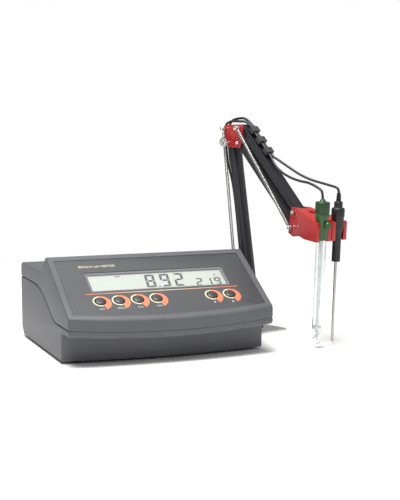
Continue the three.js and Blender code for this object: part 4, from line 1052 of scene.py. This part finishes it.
def curve_through(points):
    """A smooth line through points: places, and the number of the point that each one follows."""
    ends = [2 * points[0] - points[1], *points, 2 * points[-1] - points[-2]]
    places, numbers = [], []
    for i in range(1, len(ends) - 2):
        p0, p1, p2, p3 = ends[i - 1:i + 3]
        t1 = (p1 - p0).length ** 0.5
        t2 = t1 + (p2 - p1).length ** 0.5
        t3 = t2 + (p3 - p2).length ** 0.5
        count = max(2, round((p2 - p1).length / STEP))
        for step in range(count):
            t = t1 + (t2 - t1) * step / count
            a1 = p0.lerp(p1, t / t1)
            a2 = p1.lerp(p2, (t - t1) / (t2 - t1))
            a3 = p2.lerp(p3, (t - t2) / (t3 - t2))
            b1 = a1.lerp(a2, t / t2)
            b2 = a2.lerp(a3, (t - t1) / (t3 - t1))
            places.append(b1.lerp(b2, (t - t1) / (t2 - t1)))
            numbers.append(i - 1)
    places.append(points[-1])
    numbers.append(len(points) - 1)
    return places, numbers


def run(places):
    """The length of a line of points."""
    return sum((b - a).length for a, b in zip(places, places[1:]))


def lead_piece(name, places, settings, sides, material, bodies, blend_from=None, blend_to=None, **facts):
    """One stretch of a lead, which rides on one body or, between two, stays where it is drawn; its facts are
    not used.
    """
    piece = wire(name, places, settings.diameter, sides)
    piece.data.materials.append(material)
    if len(bodies) == 1:
        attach(piece, bodies[0])
    else:
        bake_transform(piece)
    return piece


def lead(context, name, tail, turns, loose, arm_route):
    """A whole lead from its plug, through the coil and along the arm to its electrode or probe."""
    settings = looks(context, "leads")
    sides = looks(context, "stage").blades
    sheath = made("lead_sheath", surface, settings.sheath, 0.42, grain=0.0004, depth=0.08)
    on_table = [in_case(*point) for point in (*tail, *turns, *loose)]
    before, right, after = arm_route
    clips = len(before)
    on_arm = [in_arm(*point) for point in before + through_clips(right) + after]
    places, numbers = curve_through(on_table + on_arm)
    first = len(on_table)

    def stop(point):
        return numbers.index(first + point)

    last = len(places) - 1
    while run(places[last:]) < SLACK:
        last -= 1
    plug = bpy.data.objects[f"{name}_plug_body"]
    cuts = [
        ("coil", 0, stop(1), ["meter"], None, None),
        ("foot", stop(1), stop(3), ["meter", "yoke"], 1, 3),
        ("rise", stop(3), stop(5), ["yoke", "lower_bar"], 4, 5),
        ("back", stop(5), stop(7), ["lower_bar"], None, None),
        ("bend", stop(7), stop(10), ["lower_bar", "elbow"], 7, 9),
        ("crest", stop(10), stop(clips + 1), ["elbow", "top_bar"], 10, clips + 1),
        ("clipped", stop(clips + 1), stop(clips + 5), ["top_bar"], None, None),
        ("span", stop(clips + 5), last, ["top_bar", "holder"], clips + 5, clips + 10),
        ("drop", last, len(places) - 1, ["holder", name], None, None),
    ]
    for part, begin, end, bodies, low, high in cuts:
        stretch = places[begin:end + 1]
        facts = {"lay": "coiled", "with_pieces": [plug]} if part == "coil" else {"lay": "loose"}
        low_place = on_arm[low] if low is not None else stretch[0]
        high_place = on_arm[high] if high is not None else stretch[-1]
        piece = lead_piece(f"{name}_lead_{part}", stretch, settings, sides, sheath, bodies,
                           low_place, high_place, **facts)
        nodes = [f"{name}_lead"] + ([f"{name}_tail", "lead_coil"] if part == "coil" else [])
        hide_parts(*nodes)


class PHMETER_OT_leads(bpy.types.Operator):
    """Models the electrode's and the probe's leads"""
    bl_idname = "phmeter.leads"
    bl_label = "Leads"

    def execute(self, context):
        settings = looks(context, "leads")
        low = 1.6
        high = low + 2 * settings.diameter / MM * LAYER
        lead(context, "electrode", electrode_coil_in(), coil_turns(settings, low, 82, 1552),
             [(COIL[0] + 13.5, COIL[1] - 26, 2.2), (COIL[0] + 12, COIL[1] - 40, 1.6)],
             electrode_arm_route())
        lead(context, "probe", probe_coil_in(), coil_turns(settings, high, 128, 1568),
             [(COIL[0] + 21.5, COIL[1] - 14, 6), (COIL[0] + 23.5, COIL[1] - 34, 1.7)],
             probe_arm_route())
        return {"FINISHED"}


# ---- stage --------------------------------------------------------------------------------------

CAMERA_PLACE = (-438.137, -1287.475, 267.731)   # mm, in the case's frame
CAMERA_TURN = math.radians(-21.524)
CAMERA_HEIGHT = math.radians(6.593)
CAMERA_LENS = 85.785


def area_light(name, place, target, size, power):
    """A soft square lamp aimed at a point."""
    bpy.ops.object.light_add(type="AREA", location=place)
    lamp = bpy.context.object
    lamp.name = name
    lamp.data.size = size
    lamp.data.energy = power
    lamp.rotation_mode = "QUATERNION"
    lamp.rotation_quaternion = (Vector(target) - Vector(place)).to_track_quat("-Z", "Y")


def floor_material():
    """A pale floor that fades into the bright background away from the object."""
    material, tree, shader = new_material("pale_floor")
    adjust(shader, Base_Color=(0.86, 0.86, 0.85, 1), Roughness=0.55)
    place = tree.nodes.new("ShaderNodeTexCoord")
    reach = tree.nodes.new("ShaderNodeVectorMath")
    reach.operation = "LENGTH"
    fade = tree.nodes.new("ShaderNodeMapRange")
    fade.interpolation_type = "SMOOTHSTEP"
    adjust(fade, From_Min=0.25, From_Max=0.8)
    glow = adjust(tree.nodes.new("ShaderNodeEmission"), Color=(1, 1, 1, 1))
    mix = tree.nodes.new("ShaderNodeMixShader")
    output = tree.nodes["Material Output"]
    link(tree, place, "Object", reach, 0)
    link(tree, reach, "Value", fade, "Value")
    link(tree, fade, "Result", mix, "Fac")
    link(tree, shader, "BSDF", mix, 1)
    link(tree, glow, "Emission", mix, 2)
    link(tree, mix, "Shader", output, "Surface")
    return material


class PHMETER_OT_stage(bpy.types.Operator):
    """Sets the floor, the lights and the camera"""
    bl_idname = "phmeter.stage"
    bl_label = "Stage"

    def execute(self, context):
        settings = looks(context, "stage")
        bpy.ops.object.select_all(action="DESELECT")
        bpy.ops.mesh.primitive_plane_add(size=settings.floor_size)
        floor = bpy.context.object
        floor.name = "floor"
        floor.data.materials.append(floor_material())
        world = context.scene.world or bpy.data.worlds.new("studio")
        context.scene.world = world
        world.use_nodes = True
        tree = world.node_tree
        background = adjust(tree.nodes["Background"], Color=(1, 1, 1, 1))
        path = tree.nodes.new("ShaderNodeLightPath")
        seen = tree.nodes.new("ShaderNodeMath")
        seen.operation = "MAXIMUM"
        glow = adjust(tree.nodes.new("ShaderNodeMapRange"), To_Min=settings.sky, To_Max=1.0)
        link(tree, path, "Is Camera Ray", seen, 0)
        link(tree, path, "Is Transmission Ray", seen, 1)
        link(tree, seen, "Value", glow, "Value")
        link(tree, glow, "Result", background, "Strength")
        area_light("key_light", (-0.35, -0.35, 1.7), (0, 0, 0.08), 0.9, settings.key)
        area_light("fill_light", (1.3, -0.8, 0.8), (0, 0, 0.1), 0.8, settings.fill)
        area_light("back_light", (0.2, 1.1, 1.9), (0, 0, 0.1), 0.9, settings.fill)
        bpy.ops.object.camera_add()
        camera = bpy.context.object
        camera.name = "camera"
        camera.location = in_case(*CAMERA_PLACE)
        camera.data.lens = CAMERA_LENS
        camera.data.sensor_width = 36
        back = Vector((math.sin(CAMERA_TURN) * math.cos(CAMERA_HEIGHT),
                       -math.cos(CAMERA_TURN) * math.cos(CAMERA_HEIGHT), math.sin(CAMERA_HEIGHT)))
        camera.rotation_mode = "QUATERNION"
        camera.rotation_quaternion = (-back).to_track_quat("-Z", "Y")
        context.scene.camera = camera
        context.scene.view_settings.view_transform = "Standard"
        return {"FINISHED"}


OPERATORS = [PHMETER_OT_stage, PHMETER_OT_rear, PHMETER_OT_leads, PHMETER_OT_case, PHMETER_OT_panel,
             PHMETER_OT_display, PHMETER_OT_keys, PHMETER_OT_base, PHMETER_OT_bars, PHMETER_OT_elbow,
             PHMETER_OT_springs, PHMETER_OT_holder, PHMETER_OT_electrode, PHMETER_OT_probe]


class PHMETER_PT_sidebar(bpy.types.Panel):
    """The pH meter's steps and settings"""
    bl_idname = "PHMETER_PT_sidebar"
    bl_label = "pH Meter"
    bl_space_type = "VIEW_3D"
    bl_region_type = "UI"
    bl_category = "pH Meter"

    def draw(self, context):
        for operator in OPERATORS:
            self.layout.operator(operator.bl_idname)
        for name, group in GROUPS.items():
            box = self.layout.box()
            box.label(text=name.capitalize())
            for setting in group.__annotations__:
                box.prop(looks(context, name), setting)


def register():
    for item in (*GROUPS.values(), *OPERATORS, PHMETER_PT_sidebar):
        bpy.utils.register_class(item)
    for name, group in GROUPS.items():
        setattr(bpy.types.Scene, f"ph_meter_{name}", PointerProperty(type=group))


def unregister():
    for name in GROUPS:
        delattr(bpy.types.Scene, f"ph_meter_{name}")
    for item in reversed((*GROUPS.values(), *OPERATORS, PHMETER_PT_sidebar)):
        bpy.utils.unregister_class(item)


def main():
    """Models the whole object."""
    register()
    for operator in OPERATORS:
        step = operator.bl_idname.split(".")[1]
        getattr(bpy.ops.phmeter, step)()


if __name__ == "__main__":
    main()
